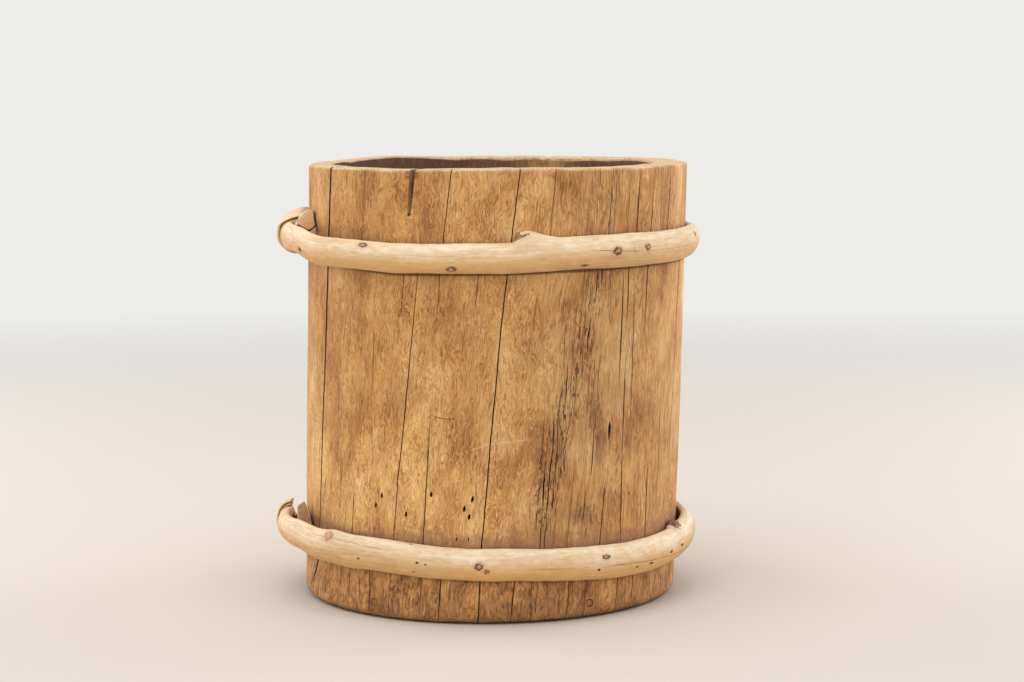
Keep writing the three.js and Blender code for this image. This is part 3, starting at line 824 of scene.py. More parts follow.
def split_column(lane, share, above_floor):
    """One column across a split: angles, depth, whether in the slot, and how dark the painted shade in the
    slot and on the lips is.
    """
    has_slot = lane.guide.has_slot
    in_slot = has_slot and abs(share) < SLOT_SIDE
    reach = np.where(above_floor, SLOT_FLOOR_WIDTH / 2, lane.half) if in_slot else lane.half
    lines_slot = has_slot and abs(share) < 1
    slot_shade = slot_lining(share, above_floor) if lines_slot else np.zeros_like(lane.half)
    width_shade = lerp(0.45, 0.95, smoothstep(lane.half, 0.35, 0.9))
    lip_shade = smoothstep(lane.depth, 0.05, 0.7) * width_shade * (abs(share) <= 1)
    groove = np.interp(abs(share), *GROOVE)
    return lane.angles + share * reach * TO_DEGREES, groove * lane.depth, in_slot, slot_shade, lip_shade


def trunk_columns(z):
    """All columns round the trunk: each value that split_column gives, as one array."""
    guides = front_guides() + belt_guides() + back_guides()
    guides.sort(key=lambda guide: float(path_angles(guide.path, MIDDLE)))
    lanes = [split_lane(number, guide, z) for number, guide in enumerate(guides)]
    for before, lane in zip(lanes, lanes[1:]):
        room = (before.half * before.cluster[-1] - lane.half * lane.cluster[0] + LANE_GAP) * TO_DEGREES
        np.maximum(lane.angles, before.angles + room, out=lane.angles)
    columns = []
    none = np.zeros_like(z)
    for k, lane in enumerate(lanes):
        columns += [split_column(lane, share, z >= SLOT_FLOOR) for share in lane.cluster]
        following = lanes[(k + 1) % len(lanes)]
        turn = 360 if k + 1 == len(lanes) else 0
        start = lane.angles + lane.cluster[-1] * lane.half * TO_DEGREES
        stop = following.angles + following.cluster[0] * following.half * TO_DEGREES + turn
        fill = int(np.median(stop - start) / TO_DEGREES / COLUMN_STEP)
        for i in range(1, fill + 1):
            columns.append((lerp(start, stop, i / (fill + 1)), none, False, none, none))
    return [np.array(values) for values in zip(*columns)]


def end_shadow_distance(path, angle, z):
    """Distance sideways from a painted shadow beside a hoop's end, made very large past the shadow's ends.
    """
    heights = [height for height, _ in path]
    beyond = np.abs(z - np.clip(z, min(heights), max(heights)))
    return turn_difference(angle, path_angles(path, z)) * math.radians(RIM_RADIUS) + 1000 * beyond


def line_distance(path, angle, heights):
    """Height above a line across the grain, growing fast past the line's ends."""
    angles, levels = zip(*path)
    beyond = np.abs(angle - np.clip(angle, angles[0], angles[-1]))
    return heights - np.interp(angle, angles, levels) + 1000 * beyond


def rim_rise(angle):
    """How far the sawn rim stands above or below its level."""
    a = np.radians(angle)
    ring = np.stack([np.sin(a), -np.cos(a), 0 * a], -1) * RIM_RADIUS
    waves = 1.0 + 0.7 * rough(ring, 70, 3) + 0.4 * rough(ring, 14, 4)
    lifted = 2.0 * stripe(angle, -140, 16) + 0.9 * stripe(angle, 0, 48)
    chipped = 2.4 * stripe(angle, 163, 1.2)
    return waves + lifted - chipped


def trunk_dirt_and_shade(angle, heights, at_wall, edge_noise, hoops):
    """How dark the wall is made: dirt in blotches, round the foot and in stains; dirt and painted shade
    along the bottom edge; painted shade next to the hoops.
    """
    blotch = np.clip(rough(at_wall, (26, 26, 44), 13) - 0.15, 0, 1) * 0.75
    grubby = 0.75 * smoothstep(heights, 30 + 12 * edge_noise, 4) * stripe(angle, 8, 40)
    # Dirt and painted shade along the bottom edge
    sole_dirt_and_shade = smoothstep(heights, 8 + 5 * edge_noise, 1)
    dirt_and_shade = [0.5 * blotch, sole_dirt_and_shade, grubby, patches(STAINS, angle, heights)]
    # Painted shade: darker just below and just above each hoop
    for low, high in hoops:
        below = np.exp(np.minimum(0, heights - low) / (3.0 + edge_noise))
        above = np.exp(np.minimum(0, high - heights) / 2.5)
        dirt_and_shade.append(np.where(heights < high, below, 0) * 0.7)
        dirt_and_shade.append(np.where(heights > low, above, 0) * 0.6)
    return np.clip(np.maximum.reduce(dirt_and_shade), 0, 1)


def trunk_looks(angle, heights, at_wall, edge_noise):
    """Where the wall is dirty, tinted or marked, and where painted shade, painted shadow and a painted
    highlight lie, as attributes for its material.
    """
    upper_low, upper_high = hoop_edges(UPPER_LEVEL, UPPER_STATIONS, angle)
    lower_low, lower_high = hoop_edges(LOWER_LEVEL, LOWER_STATIONS, angle)
    hoops = [(upper_low, upper_high), (lower_low, lower_high)]
    side = turn_difference(angle, 0)
    is_front = 1 - smoothstep(np.abs(side), 105, 150)
    is_high = heights > (lower_low + lower_high) / 2
    # Painted shadow: the dark line under each hoop is drawn from this height against the hoop's lower edge
    under = heights - np.where(is_high, upper_low, lower_low)
    tide = np.where(is_high, heights - lower_high, 40) + 11 * smoothstep(side, -22, -50) * is_front
    bleached = spot(side, heights, -30, 115, 44, 50)
    # Painted highlight: the wall is paler from its sides round to the back, less so at the front left
    edges = smoothstep(np.abs(side), 58, 75) * (1 - 0.6 * smoothstep(side, -40, -58) * is_front)
    upper_end_shadow, lower_end_shadow = (end_shadow_distance(end_shadow, angle, heights) for end_shadow in (UPPER_END_SHADOW, LOWER_END_SHADOW))
    return {
        "end_shadow": np.where(heights > MIDDLE, upper_end_shadow, lower_end_shadow),
        "under": np.clip(under, -30, 30),
        "tide": np.clip(tide, -40, 40),
        "scratch": line_distance(SCRATCH, angle, heights),
        "nick": line_distance(NICK, angle, heights),
        "curl": lerp(1.0, 0.35, smoothstep(side, 8, 24) * is_front),
        "golden": smoothstep(side, -8, -45) * is_front * (1 - 0.8 * bleached),
        "pale": np.clip(bleached + edges, 0, 1),
        "dull": spot(side, heights, 27, 200, 20, 80),
        "russet": patches(RUSSET, angle, heights),
        "stain_and_shade": trunk_dirt_and_shade(angle, heights, at_wall, edge_noise, hoops),
        "foot": smoothstep(heights, 58 + 8 * edge_noise, 34),
    }


def build_trunk():
    share, shift, z = trunk_rows()
    angle, depth, in_slot, slot_shade, lip_shade = trunk_columns(z)
    count = angle.shape
    middle_row = int(np.argmin(np.abs(z - MIDDLE) + 1000 * share))
    reference = np.broadcast_to(angle[:, middle_row][:, None], count)
    heights = np.broadcast_to(z, count).copy()
    is_outer = np.broadcast_to(share == 0, count)
    is_bore = np.broadcast_to(share == 1, count)

    outer = wall_radius(heights) + 0.6
    inner = bore_distance(angle, BORE_RADIUS)
    turned = np.radians(reference)
    at_wall = np.stack([RIM_RADIUS * np.sin(turned), -RIM_RADIUS * np.cos(turned), heights], -1)
    weathered = np.clip(patches(WEATHERED, angle, heights), 0, 1)

    # Outside: slow swells and small dips along the grain
    swell = 0.7 * rough(at_wall, (80, 80, 130), 1)
    swell += 0.3 * rough(at_wall, (18, 18, 60), 2)
    dips = -0.5 * weathered * np.abs(rough(at_wall, (3, 3, 25), 5))
    outer = outer + np.where(z > FOOT_ROUND, 1, z / FOOT_ROUND) * (swell + dips)

    # Inside: long gouge marks, and a decayed patch under the rim at the back
    lane = (angle / GOUGE_TURN + 0.3 * rough(at_wall, 60, 6)) % 1
    step = (heights / GOUGE_LENGTH + 0.37 * np.floor(angle / GOUGE_TURN)) % 1
    gouge = 1.3 * (1 - (2 * lane - 1) ** 2) + 0.6 * (1 - (2 * step - 1) ** 2)
    decayed = spot(turn_difference(angle, 162), heights, 0, 372, 9, 16)
    pitted = 3.0 * decayed * np.abs(rough(at_wall, (5, 5, 16), 8))
    gouge = gouge * smoothstep(TOP - heights, 0, 30) + pitted
    inner = inner + np.where((share == 1) & (shift == 0), gouge, 0)

    # The bore's worn edge is broader at the right of the back
    near_rim = is_bore & (z > TOP - BORE_BEVEL - 3.5)
    worn = lerp(0.42, 1.0, stripe(angle, 160, 42)) + 0.25 * rough(at_wall, 24, 9)
    worn = np.where(near_rim, np.clip(worn, 0.2, 1.2), 1)
    heights = np.where(near_rim, TOP - (TOP - heights) * worn, heights)
    radius = lerp(outer, inner, share) + shift * worn
    radius = radius - np.where(is_outer, depth, 0)

    # The rim is uneven, and the splits that reach it notch its outer edge
    heights += rim_rise(angle) * smoothstep(heights, TOP - 16, TOP)
    on_rim = (share > 0) & (share < 1) & (z > MIDDLE)
    notch = np.where(on_rim, depth * smoothstep(share, 0.45, 0), 0)
    heights -= notch
    foot_chips = np.maximum(0, rough(at_wall, 9, 10) - 0.25) * smoothstep(z, 12, 0) * (z > 0)
    radius = radius - np.where(is_outer, 3.0 * foot_chips, 0)

    # The open slot: its columns turn inwards at the slot's floor instead of at the rim
    above = np.where(z >= SLOT_FLOOR)[0]
    across = np.linspace(0, 1, len(above))
    for column, lift in zip(np.where(in_slot)[0], SLOT_LIFTS):
        first, last = radius[column, above[0]], radius[column, above[-1]]
        radius[column, above] = lerp(first, last, across)
        heights[column, above] = SLOT_FLOOR + lift + 1.5 * np.sin(across * math.pi)

    # Painted shade in the slot and in splits, dirt and painted shade under the foot; wear on the rim and
    # its edges
    edge_noise = rough(at_wall, (16, 16, 12), 12)
    sole_dirt_and_shade = 0.5 * smoothstep(heights, np.maximum(1.5, 4.6 + 5 * edge_noise), 0.6)
    lips = np.where(is_outer, lip_shade, 0.8 * smoothstep(notch, 0.05, 0.7))
    cavity_shade = np.maximum.reduce([slot_shade, lips, sole_dirt_and_shade * is_outer])
    is_bevel = is_bore & (z > TOP - BORE_BEVEL - 0.5)
    inside = np.where(is_bore & (z < TOP - BORE_BEVEL - 0.5), 1.0, 0.0)
    wear = np.where(on_rim, 0.85, 0) + np.where(is_bevel, 0.8, 0)
    wear = wear + np.where(is_outer, 0.9 * smoothstep(z, TOP - 2.5, TOP - 0.5), 0)

    looks = trunk_looks(angle, heights, at_wall, edge_noise)
    looks["stain_and_shade"] = looks["stain_and_shade"] * is_outer
    looks["foot"] = looks["foot"] * is_outer
    looks["weathered"] = weathered * is_outer
    looks["cavity_shade"] = cavity_shade
    looks["inside"] = inside * (1 - 0.75 * decayed)
    looks["wear"] = np.clip(wear, 0, 1) * (1 - smoothstep(cavity_shade, 0.1, 0.4))
    attributes = {key: values.ravel() for key, values in looks.items()}
    grain_plan = radius[..., None] * np.stack([np.sin(turned), -np.cos(turned)], -1)
    attributes["grain"] = np.concatenate([grain_plan, heights[..., None]], -1).reshape(-1, 3)
    points = place(angle, radius, heights)
    piece = add_mesh("trunk_wall_detailed", points, grid_faces(*count, closed=True), attributes, TRUNK_WOOD)
    stand_for(piece, "trunk_wall")
    return piece


trunk = build_trunk()


def half_round():
    """A hoop's section as tilt, out and up: round outside and flat against the wall."""
    tilt = np.linspace(90, -90, ROUND_POINTS)
    out = 0.25 + 0.75 * np.cos(np.radians(tilt))
    up = 0.5 * np.sin(np.radians(tilt))
    flat_up = np.array((-0.485, -0.45, -0.42, -0.21, 0, 0.21, 0.42, 0.45, 0.485))
    flat_out = np.array((0.12, 0.03, 0, 0, 0, 0, 0, 0.03, 0.12))
    flat_tilt = np.array((-100, -112, -120, -150, 180, 150, 120, 112, 100))
    return np.concatenate([tilt, flat_tilt]), np.concatenate([out, flat_out]), np.concatenate([up, flat_up])


def ring_turns(marks, last):
    """Turns of the hoop's rings, closer together near its marks."""
    fine = np.linspace(0, last, 8000)
    places = [*(mark.turn for mark in marks), *STUB_FACE, *SHOOT[0]]
    weight = 1 + sum(1.6 * np.exp(-((fine - turn) / 2.2) ** 2) for turn in places)
    travelled = np.concatenate([[0], np.cumsum(weight[1:])])
    return np.interp(np.linspace(0, travelled[-1], HOOP_RINGS), travelled, fine)


def from_mark(mark, turn, tilt):
    """Distances from a mark's middle along and across the branch, in the mark's half lengths."""
    along = (turn - mark.turn) * math.radians(HOOP_RADIUS) / mark.length
    across = (tilt - mark.tilt) * math.radians(SECTION_RADIUS) / mark.height
    return np.broadcast_arrays(along, across)


def stamp_mark(mark, turn, tilt):
    """Outward shift that one mark gives to the points of a hoop."""
    d = np.hypot(*from_mark(mark, turn, tilt))
    if mark.kind in ("knot", "pale knot"):
        return 0.8 * np.exp(-((d / 2.0) ** 2)) - 0.6 * np.exp(-(((d - 0.95) / 0.34) ** 2))
    if mark.kind == "hump":
        return 2.2 * np.exp(-(d**2))
    if mark.kind == "hole":
        return -1.8 * np.exp(-(d**4))
    return -1.3 * np.exp(-(d**2))


def nearest_mark(marks, kinds, turn, tilt):
    """Each point's own coordinates about its nearest mark of some kinds, and whether that knot is pale."""
    nearest = np.full((*np.broadcast_shapes(turn.shape, tilt.shape), 3), FAR)
    pale = np.zeros(nearest.shape[:-1])
    for mark in marks:
        if mark.kind in kinds:
            along, across = from_mark(mark, turn, tilt)
            is_closer = np.hypot(along, across) < np.linalg.norm(nearest, axis=-1)
            nearest[is_closer] = np.stack([along, across, 0 * along], -1)[is_closer]
            pale[is_closer] = mark.kind == "pale knot"
    return np.clip(nearest, -FAR, FAR), pale


def crack_distance(lines, turn, tilt):
    """Signed distance to the nearest fine crack in crack widths, far off where none is near."""
    nearest = np.full(np.broadcast_shapes(turn.shape, tilt.shape), FAR)
    for line in lines:
        turns, tilts = zip(*sorted(line.points))
        middle = (turns[0] + turns[-1]) / 2
        taper = np.sqrt(np.clip(1 - ((turn - middle) / (turns[-1] - middle)) ** 2, 0, 1))
        wander = 1.2 * np.sin(turn * 0.35 + middle) + 0.5 * np.sin(turn * 0.9)
        away = (tilt - np.interp(turn, turns, tilts) - wander) * math.radians(SECTION_RADIUS) / line.width
        away = away + np.where(away < 0, -3, 3) * (1 - np.minimum(1, taper * 1.6))
        is_near = np.abs(away) < np.minimum(np.abs(nearest), 2.5)
        nearest = np.where(is_near, away, nearest)
    return nearest


def polygon_reach(corners, centre, directions):
    """Distance from the centre to the polygon's outline in each direction."""
    reach = np.full(len(directions), np.inf)
    loop = np.array(corners) - centre
    for a, b in zip(loop, np.roll(loop, -1, 0)):
        edge = b - a
        cross = directions[:, 0] * edge[1] - directions[:, 1] * edge[0]
        far = (a[0] * edge[1] - a[1] * edge[0]) / np.where(cross == 0, 1e-9, cross)
        along = (a[0] * directions[:, 1] - a[1] * directions[:, 0]) / np.where(cross == 0, 1e-9, cross)
        hit = (far > 0) & (along >= 0) & (along <= 1)
        reach = np.where(hit, np.minimum(reach, far), reach)
    return reach


def whittle(off, z, corners, weight):
    """Draws the first rings of a hoop towards the flat-sided outline of its cut end."""
    centre = np.array(corners).mean(0)
    for ring in np.where(weight > 0)[0]:
        section = np.stack([off[ring], z[ring]], -1)
        own_centre = (section.max(0) + section.min(0)) / 2
        arms = section - own_centre
        length = np.linalg.norm(arms, axis=1)
        reach = polygon_reach(corners, centre, arms / length[:, None])
        scale = lerp(1, reach / length, weight[ring])[:, None]
        off[ring], z[ring] = (lerp(own_centre, centre, weight[ring]) + arms * scale).T


# Rise on top of a hoop by turn: the stub of a side branch, torn at the larger turns, and a broken shoot
STUB = ((272, 274, 277.1, 279.5, 281.4, 284.2, 285.0), (0, 1.4, 4.1, 7.4, 9.2, 7.6, 0))
STUB_FACE = (280.4, 285.8)
SHOOT = ((218.6, 219.4, 220.8, 222.2, 223.2, 223.8), (0, 3.0, 4.8, 5.6, 4.4, 0))


def stub_hump(turn, up):
    """Height of the stub."""
    return np.interp(turn, *STUB) * smoothstep(up, 0.1, 0.46)


def stub_face(turn, up, above):
    """How far inside the stub's torn face points lie, given their height above the hoop's level."""
    foot = 13.0 + 1.4 * (STUB_FACE[1] - turn)
    sides = np.minimum((turn - STUB_FACE[0]) / 0.8, (STUB_FACE[1] - turn) / 0.6)
    under_splinter = np.maximum((0.42 - up) / 0.03, (turn - 283.4) / 0.4)
    return np.minimum.reduce(np.broadcast_arrays(sides, (above - foot) / 1.2, under_splinter))


def close_end(flat, faces, base, sides, turned_over, raggedness):
    """Closes an end with rings of points that shrink to its middle; a very ragged one is torn, not cut."""
    torn = 0.02 if raggedness > 0.5 else -1.0
    plain = {"crack": FAR, "heart": 0.0, "knot": FAR, "pit": FAR, "torn": torn}
    outline = {key: np.concatenate(values)[base:base + sides] for key, values in flat.items()}
    middle = {key: values.mean(0) for key, values in outline.items()}
    before = np.arange(base, base + sides)
    for share in END_RINGS:
        start = sum(len(values) for values in flat["points"])
        for key, values in outline.items():
            flat[key].append(lerp(middle[key], values, share))
        inward = rough(flat["points"][-1], 4, 3) * raggedness
        flat["points"][-1] = flat["points"][-1] + inward[:, None]
        height = flat["points"][-1][:, 2]
        # Painted shade: each end is browner towards its bottom
        flat["patina_and_shade"][-1] = 0.5 + 0.45 * smoothstep(height, height.mean() + 1, height.min())[:, None]
        for key, value in plain.items():
            flat[key][-1] = np.full_like(flat[key][-1], value)
        ring = np.arange(start, start + sides)
        quads = np.stack([before, np.roll(before, -1), np.roll(ring, -1), ring], -1)
        faces.extend((quads[:, ::-1] if not turned_over else quads).tolist())
        before = ring
    faces.append(before.tolist() if turned_over else before[::-1].tolist())


def build_hoop(name, level, stations, marks, lines, end, raggedness, seed, has_stub):
    tilt, out, up = half_round()
    turns = ring_turns(marks, stations[-1].turn)
    rise, height, thickness, slack = station_values(stations, turns)
    turn = turns[:, None]
    along = np.broadcast_to(turn * math.radians(HOOP_RADIUS), (len(turns), len(tilt)))
    spun = np.radians(np.broadcast_to(tilt, along.shape))
    section = SECTION_RADIUS * np.stack([np.cos(spun), np.sin(spun)], -1)
    grain = np.concatenate([along[..., None] + 3000 * seed, section], -1)
    is_round = np.abs(tilt) <= 90

    shift = 0.9 * rough(grain, (45, 20, 20), seed)
    shift += 0.4 * rough(grain, (15, 8, 8), seed + 1)
    shift += 0.15 * rough(grain, (5, 3, 3), seed + 2)
    brown = np.clip(rough(grain, (60, 9, 9), seed + 3) * 0.9, 0, 0.6)
    for mark in marks:
        shift += stamp_mark(mark, turn, tilt)
    shift *= np.where(is_round, 1, 0.2)
    knot, heart = nearest_mark(marks, ("knot", "pale knot"), turn, tilt)
    pit, _ = nearest_mark(marks, ("hole",), turn, tilt)

    z = level + rise[:, None] + up * height[:, None]
    off = stand_off(stations, turns, slack)[:, None] + out * thickness[:, None]
    off = off + shift * np.where(is_round, np.cos(spun), 0)
    z = z + shift * np.where(is_round, np.sin(spun), np.sign(up) * (np.abs(up) > 0.43))
    if has_stub:
        ragged = rough(grain, (1.6, 1.6, 1.6), seed + 5)
        z += stub_hump(turn, up)
        face = stub_face(turn, up, z - level)
        z += 0.9 * np.clip(face, 0, 1) * ragged
        torn = np.broadcast_to(face, along.shape)
    else:
        ragged = rough(grain, (2.2, 2.2, 2.2), seed + 5)
        shoot = np.interp(turn + 0.5 * ragged, *SHOOT) * smoothstep(up + 0.04 * ragged, 0.28, 0.47)
        z += shoot * (1 + 0.3 * ragged)
        torn = shoot - 2.4 + 1.6 * ragged
    whittle(off, z, end, 1 - smoothstep(turns, 0, 3))

    # The first cut end looks slightly upwards
    slant = (z - z[0].mean()) * 0.06 * (1 - smoothstep(turn, 0, 4))
    points = place(HOOP_START - turn - slant, wall_radius(z) + off, z)
    # Painted shade: the lower side is browner, along with random brown patina
    patina_and_shade = np.clip(smoothstep(tilt, 42, -35) * np.where(is_round, 1, 0.7) + brown * 0.8, 0, 1)
    patina_and_shade = np.broadcast_to(patina_and_shade, along.shape)
    crack = np.broadcast_to(crack_distance(lines, turn, tilt), along.shape)
    rings, sides = along.shape
    layers = {
        "points": points, "grain": grain, "patina_and_shade": patina_and_shade, "crack": crack, "knot": knot, "pit": pit,
        "heart": heart, "torn": np.clip(torn, -1, 1),
    }
    flat = {key: [values.reshape(rings * sides, -1)] for key, values in layers.items()}
    faces = grid_faces(rings, sides, closed=False)
    smooth_faces = len(faces)
    for base, turned_over in ((0, True), ((rings - 1) * sides, False)):
        close_end(flat, faces, base, sides, turned_over, raggedness if base == 0 else 0.25)
    merged = {key: np.concatenate(values) for key, values in flat.items()}
    merged = {key: values.ravel() if values.shape[1] == 1 else values for key, values in merged.items()}
    piece = add_mesh(f"{name}_detailed", merged.pop("points"), faces, merged, HOOP_WOOD)
    for face in piece.data.polygons[smooth_faces:]:
        face.use_smooth = False
    stand_for(piece, name)


build_hoop("upper_hoop", UPPER_LEVEL, UPPER_STATIONS, UPPER_MARKS, UPPER_LINES, UPPER_END, 0.25, 1, True)
build_hoop("lower_hoop", LOWER_LEVEL, LOWER_STATIONS, LOWER_MARKS, LOWER_LINES, LOWER_END, 1.0, 2, False)


# Lashings: a split strip bent round both ends of a hoop, with its own end lapped inside
UPPER_LOOP = [
    (1.8, 316), (1.6, 328), (3.6, 331.9), (8.8, 332.9), (16.8, 330.2), (23.3, 325.6), (25.6, 319.3),
    (25.6, 313.2), (21.0, 307.2), (15, 304.6), (8, 307),
]
UPPER_LAP = [
    (14, 301.9), (17.0, 302.2), (23.0, 304.6), (29.4, 312.0), (30.8, 319.6), (28.6, 328.4), (20.0, 334.8),
    (8.6, 337.6), (3.6, 336.4),
]
LOWER_LOOP = [
    (13.5, 61.5), (9, 63.4), (3.6, 61.8), (1.8, 56), (1.8, 50), (5, 46), (14, 45), (23, 46.4), (28.2, 50.8),
    (29.8, 57), (28.8, 64.4), (26.4, 69.4), (22.6, 72.8), (17.2, 74.8),
]
LOWER_LAP = [(27.0, 62.8), (25.0, 67.0), (21.8, 69.9), (17.6, 71.6)]
LOOP_RINGS = 150
LAP_RINGS = 90
STRIP_POINTS = 13
SEEN_THICKNESS = STRIP_THICKNESS * 1.2
FILLED_THICKNESS = STRIP_THICKNESS * 3.4  # of the upper loop, which fills the room inside its lap
LAP_WIDTH = STRIP_WIDTH * 0.96


def smooth_path(points, count, closed):
    """Evenly spaced points on a Catmull-Rom curve through the given ones."""
    p = np.array(points, float)
    if closed:
        p = np.concatenate([p[-1:], p, p[:2]])
    else:
        p = np.concatenate([2 * p[:1] - p[1:2], p, 2 * p[-1:] - p[-2:-1]])
    t = np.linspace(0, 1, 24)[:-1, None]
    curve = []
    for a, b, c, d in zip(p, p[1:], p[2:], p[3:]):
        bend = 2 * a - 5 * b + 4 * c - d
        twist = 3 * b - a - 3 * c + d
        curve.append(0.5 * (2 * b + (c - a) * t + bend * t**2 + twist * t**3))
    curve = np.concatenate(curve + [p[-2:-1]])
    travelled = np.concatenate([[0], np.cumsum(np.linalg.norm(np.diff(curve, axis=0), axis=1))])
    even = np.linspace(0, travelled[-1], count + 1 if closed else count)
    path = np.stack([np.interp(even, travelled, curve[:, i]) for i in (0, 1)], -1)
    return path[:-1] if closed else path


def band(points, count, width, thickness, closed, droop, seed):
    """A flat strip swept along a path of (distance off the wall, height): its places, faces and grain.

    Droop lowers the strip's front edge along the upper part of the path.
    """
    path = smooth_path(points, count, closed)
    ahead = np.roll(path, -1, 0) - np.roll(path, 1, 0)
    if not closed:
        ahead[0], ahead[-1] = path[1] - path[0], path[-1] - path[-2]
    outward = np.stack([-ahead[:, 1], ahead[:, 0]], -1) / np.linalg.norm(ahead, axis=1)[:, None]
    face = np.linspace(-0.5, 0.5, STRIP_POINTS)
    crown = (2 * face) ** 4
    across = np.concatenate([face, face[::-1]])
    lift = np.concatenate([1 - 0.55 * crown, 0.2 * crown[::-1]])
    along = np.arange(count) * np.linalg.norm(ahead, axis=1).mean() / 2
    step = np.stack(np.broadcast_arrays(along[:, None] + 500 * seed, across * width, lift * thickness), -1)
    edge = 1 + 0.1 * rough(step * (1, 0, 0), 14, seed)
    fibres = 0.22 * rough(step, (40, 1.3, 50), seed + 1) * (lift > 0.4)
    raised = lift * thickness - thickness / 2 + fibres
    position = path[:, None, :] + outward[:, None, :] * raised[..., None]
    level = path[:, 1:]
    lowered = droop * across * width * smoothstep(level, level.min() + 0.5 * np.ptp(level), level.max())
    z = position[..., 1] - lowered
    off = position[..., 0]
    angle = LASH_ANGLE + np.degrees(across * width * edge / (wall_radius(z) + off))
    faces = grid_faces(count, len(across), closed)
    if not closed:
        faces.append(tuple(range(len(across))))
        faces.append(tuple(range(count * len(across) - 1, (count - 1) * len(across) - 1, -1)))
    return np.stack([angle, off, z], -1).reshape(-1, 3), faces, step.reshape(-1, 3)


def build_lashing(name, loop, lap, is_ring, droop, seed):
    thickness = FILLED_THICKNESS if is_ring else SEEN_THICKNESS
    parts = [
        band(loop, LOOP_RINGS, STRIP_WIDTH, thickness, is_ring, droop, seed),
        band(lap, LAP_RINGS, LAP_WIDTH, SEEN_THICKNESS, False, droop, seed + 3),
    ]
    angle, off, z = np.concatenate([part[0] for part in parts]).T
    shift = len(parts[0][0])
    faces = parts[0][1] + [tuple(corner + shift for corner in face) for face in parts[1][1]]
    share = (z - z.min()) / np.ptp(z)
    is_hidden = (np.arange(len(z)) < shift) & is_ring
    attributes = {
        "grain": np.concatenate([part[2] for part in parts]),
        # Painted shade: the strip is browner towards its bottom, dark where it nears the wall, and
        # near-black on the hidden ring
        "patina_and_shade": (0.2 if is_ring else 0.02) + 0.7 * smoothstep(share, 0.45, 0.1),
        "cavity_shade": np.maximum(0.5 * smoothstep(off, 15, 5), 0.95 * is_hidden) * smoothstep(share, 0.66, 0.8),
        "crack": np.full(len(z), FAR),
    }
    points = place(angle, wall_radius(z) + off, z)
    piece = add_mesh(f"{name}_detailed", points, faces, attributes, STRIP_WOOD)
    stand_for(piece, name)


build_lashing("upper_hoop_lashing", UPPER_LOOP, UPPER_LAP, True, 0.6, 1)
build_lashing("lower_hoop_lashing", LOWER_LOOP, LOWER_LAP, False, 0.0, 2)


# Wedges: chips split from the branch, under the hoops' inner ends
CHIP_RINGS = 26
CHIP_TURNS = (-1.2, 7.2)
UPPER_CHIP = [(0.6, 329.2), (4.5, 327.0), (9.0, 324.6), (9.4, 317.0), (0.5, 316.6)]
LOWER_CHIP = [(0.5, 66.2), (5.0, 66.0), (9.0, 65.0), (9.6, 57.8), (0.5, 57.6)]


def loft(rings):
    """Points and faces of a closed solid through rings of points, with flat ends."""
    count, sides, _ = rings.shape
    faces = grid_faces(count, sides, closed=False)
    faces.append(list(range(sides)))
    faces.append(list(range(count * sides - 1, (count - 1) * sides - 1, -1)))
    return rings.reshape(-1, 3), faces


def build_chip(name, corners, seed):
    """A chip that thins towards its point, with split, uneven faces."""
    loop = np.array(corners + corners[:1], float)
    places = np.linspace(0, len(corners), 40, endpoint=False)
    outline = np.stack([np.interp(places, np.arange(len(loop)), loop[:, i]) for i in (0, 1)], -1)
    share = np.linspace(0, 1, CHIP_RINGS)[:, None]
    off = 0.5 + (outline[:, 0] - 0.5) * lerp(1, 0.45, share)
    z = outline[:, 1] - 3.4 * share * (outline[:, 1] - outline[:, 1].min()) / np.ptp(outline[:, 1])
    turn = np.broadcast_to(lerp(*CHIP_TURNS, share), z.shape)
    grain = np.stack([turn * 3, off, z], -1) + 300 * seed
    uneven = 0.35 * rough(grain, (9, 3, 3), seed)
    uneven += 0.2 * rough(grain, (3, 1.2, 1.2), seed + 1)
    off = np.maximum(0.45, off + uneven)
    points, faces = loft(place(HOOP_START - turn, wall_radius(z) + off, z + uneven))
    piece = add_mesh(f"{name}_detailed", points, faces, {"grain": grain.reshape(-1, 3)}, WEDGE_WOOD)
    for face in piece.data.polygons:
        face.use_smooth = False
    stand_for(piece, name)


build_chip("upper_hoop_wedge", UPPER_CHIP, 1)
build_chip("lower_hoop_wedge", LOWER_CHIP, 2)


# Bottom: three boards pinned edge to edge, held by pegs through the wall
PLANK_WIDTH = (2 * BOTTOM_RADIUS - (PLANK_COUNT - 1) * PLANK_SEAM) / PLANK_COUNT
POINTS_ALONG = 81
POINTS_ACROSS = 31
ROD_RINGS = 16
ROD_SIDES = 24


def rod(name, start, stop, radius, wobble, seed):
    """A round rod between two points; wobble whittles it."""
    start, stop = np.array(start, float), np.array(stop, float)
    axis = (stop - start) / np.linalg.norm(stop - start)
    side = np.cross(axis, (0, 0, 1))
    steps = np.linspace(0, 1, ROD_RINGS)[:, None]
    spin = np.radians(np.linspace(0, 360, ROD_SIDES, endpoint=False))
    around = np.cos(spin)[:, None] * side + np.sin(spin)[:, None] * np.array((0, 0, 1))
    swell = 1 - wobble * np.abs(np.sin(4 * spin + 3 * steps + seed)) * 0.5
    rings = lerp(start, stop, steps)[:, None, :] + (radius * swell)[..., None] * around
    points, faces = loft(rings)
    along = np.broadcast_to(steps * np.linalg.norm(stop - start), swell.shape)
    ring = np.broadcast_to(radius * np.stack([np.cos(spin), np.sin(spin)], -1), (*swell.shape, 2))
    grain = np.concatenate([along[..., None] + 90 * seed, ring], -1).reshape(-1, 3)
    return add_mesh(name, points, faces, {"grain": grain}, PEG_WOOD)


def peg_ends(angle):
    inner = BOTTOM_RADIUS - abs(BORE_OFFSET) - PEG_GRIP
    outer = wall_radius(PEG_LEVEL) + PEG_PROUD
    return place(angle, inner, PEG_LEVEL), place(angle, outer, PEG_LEVEL)


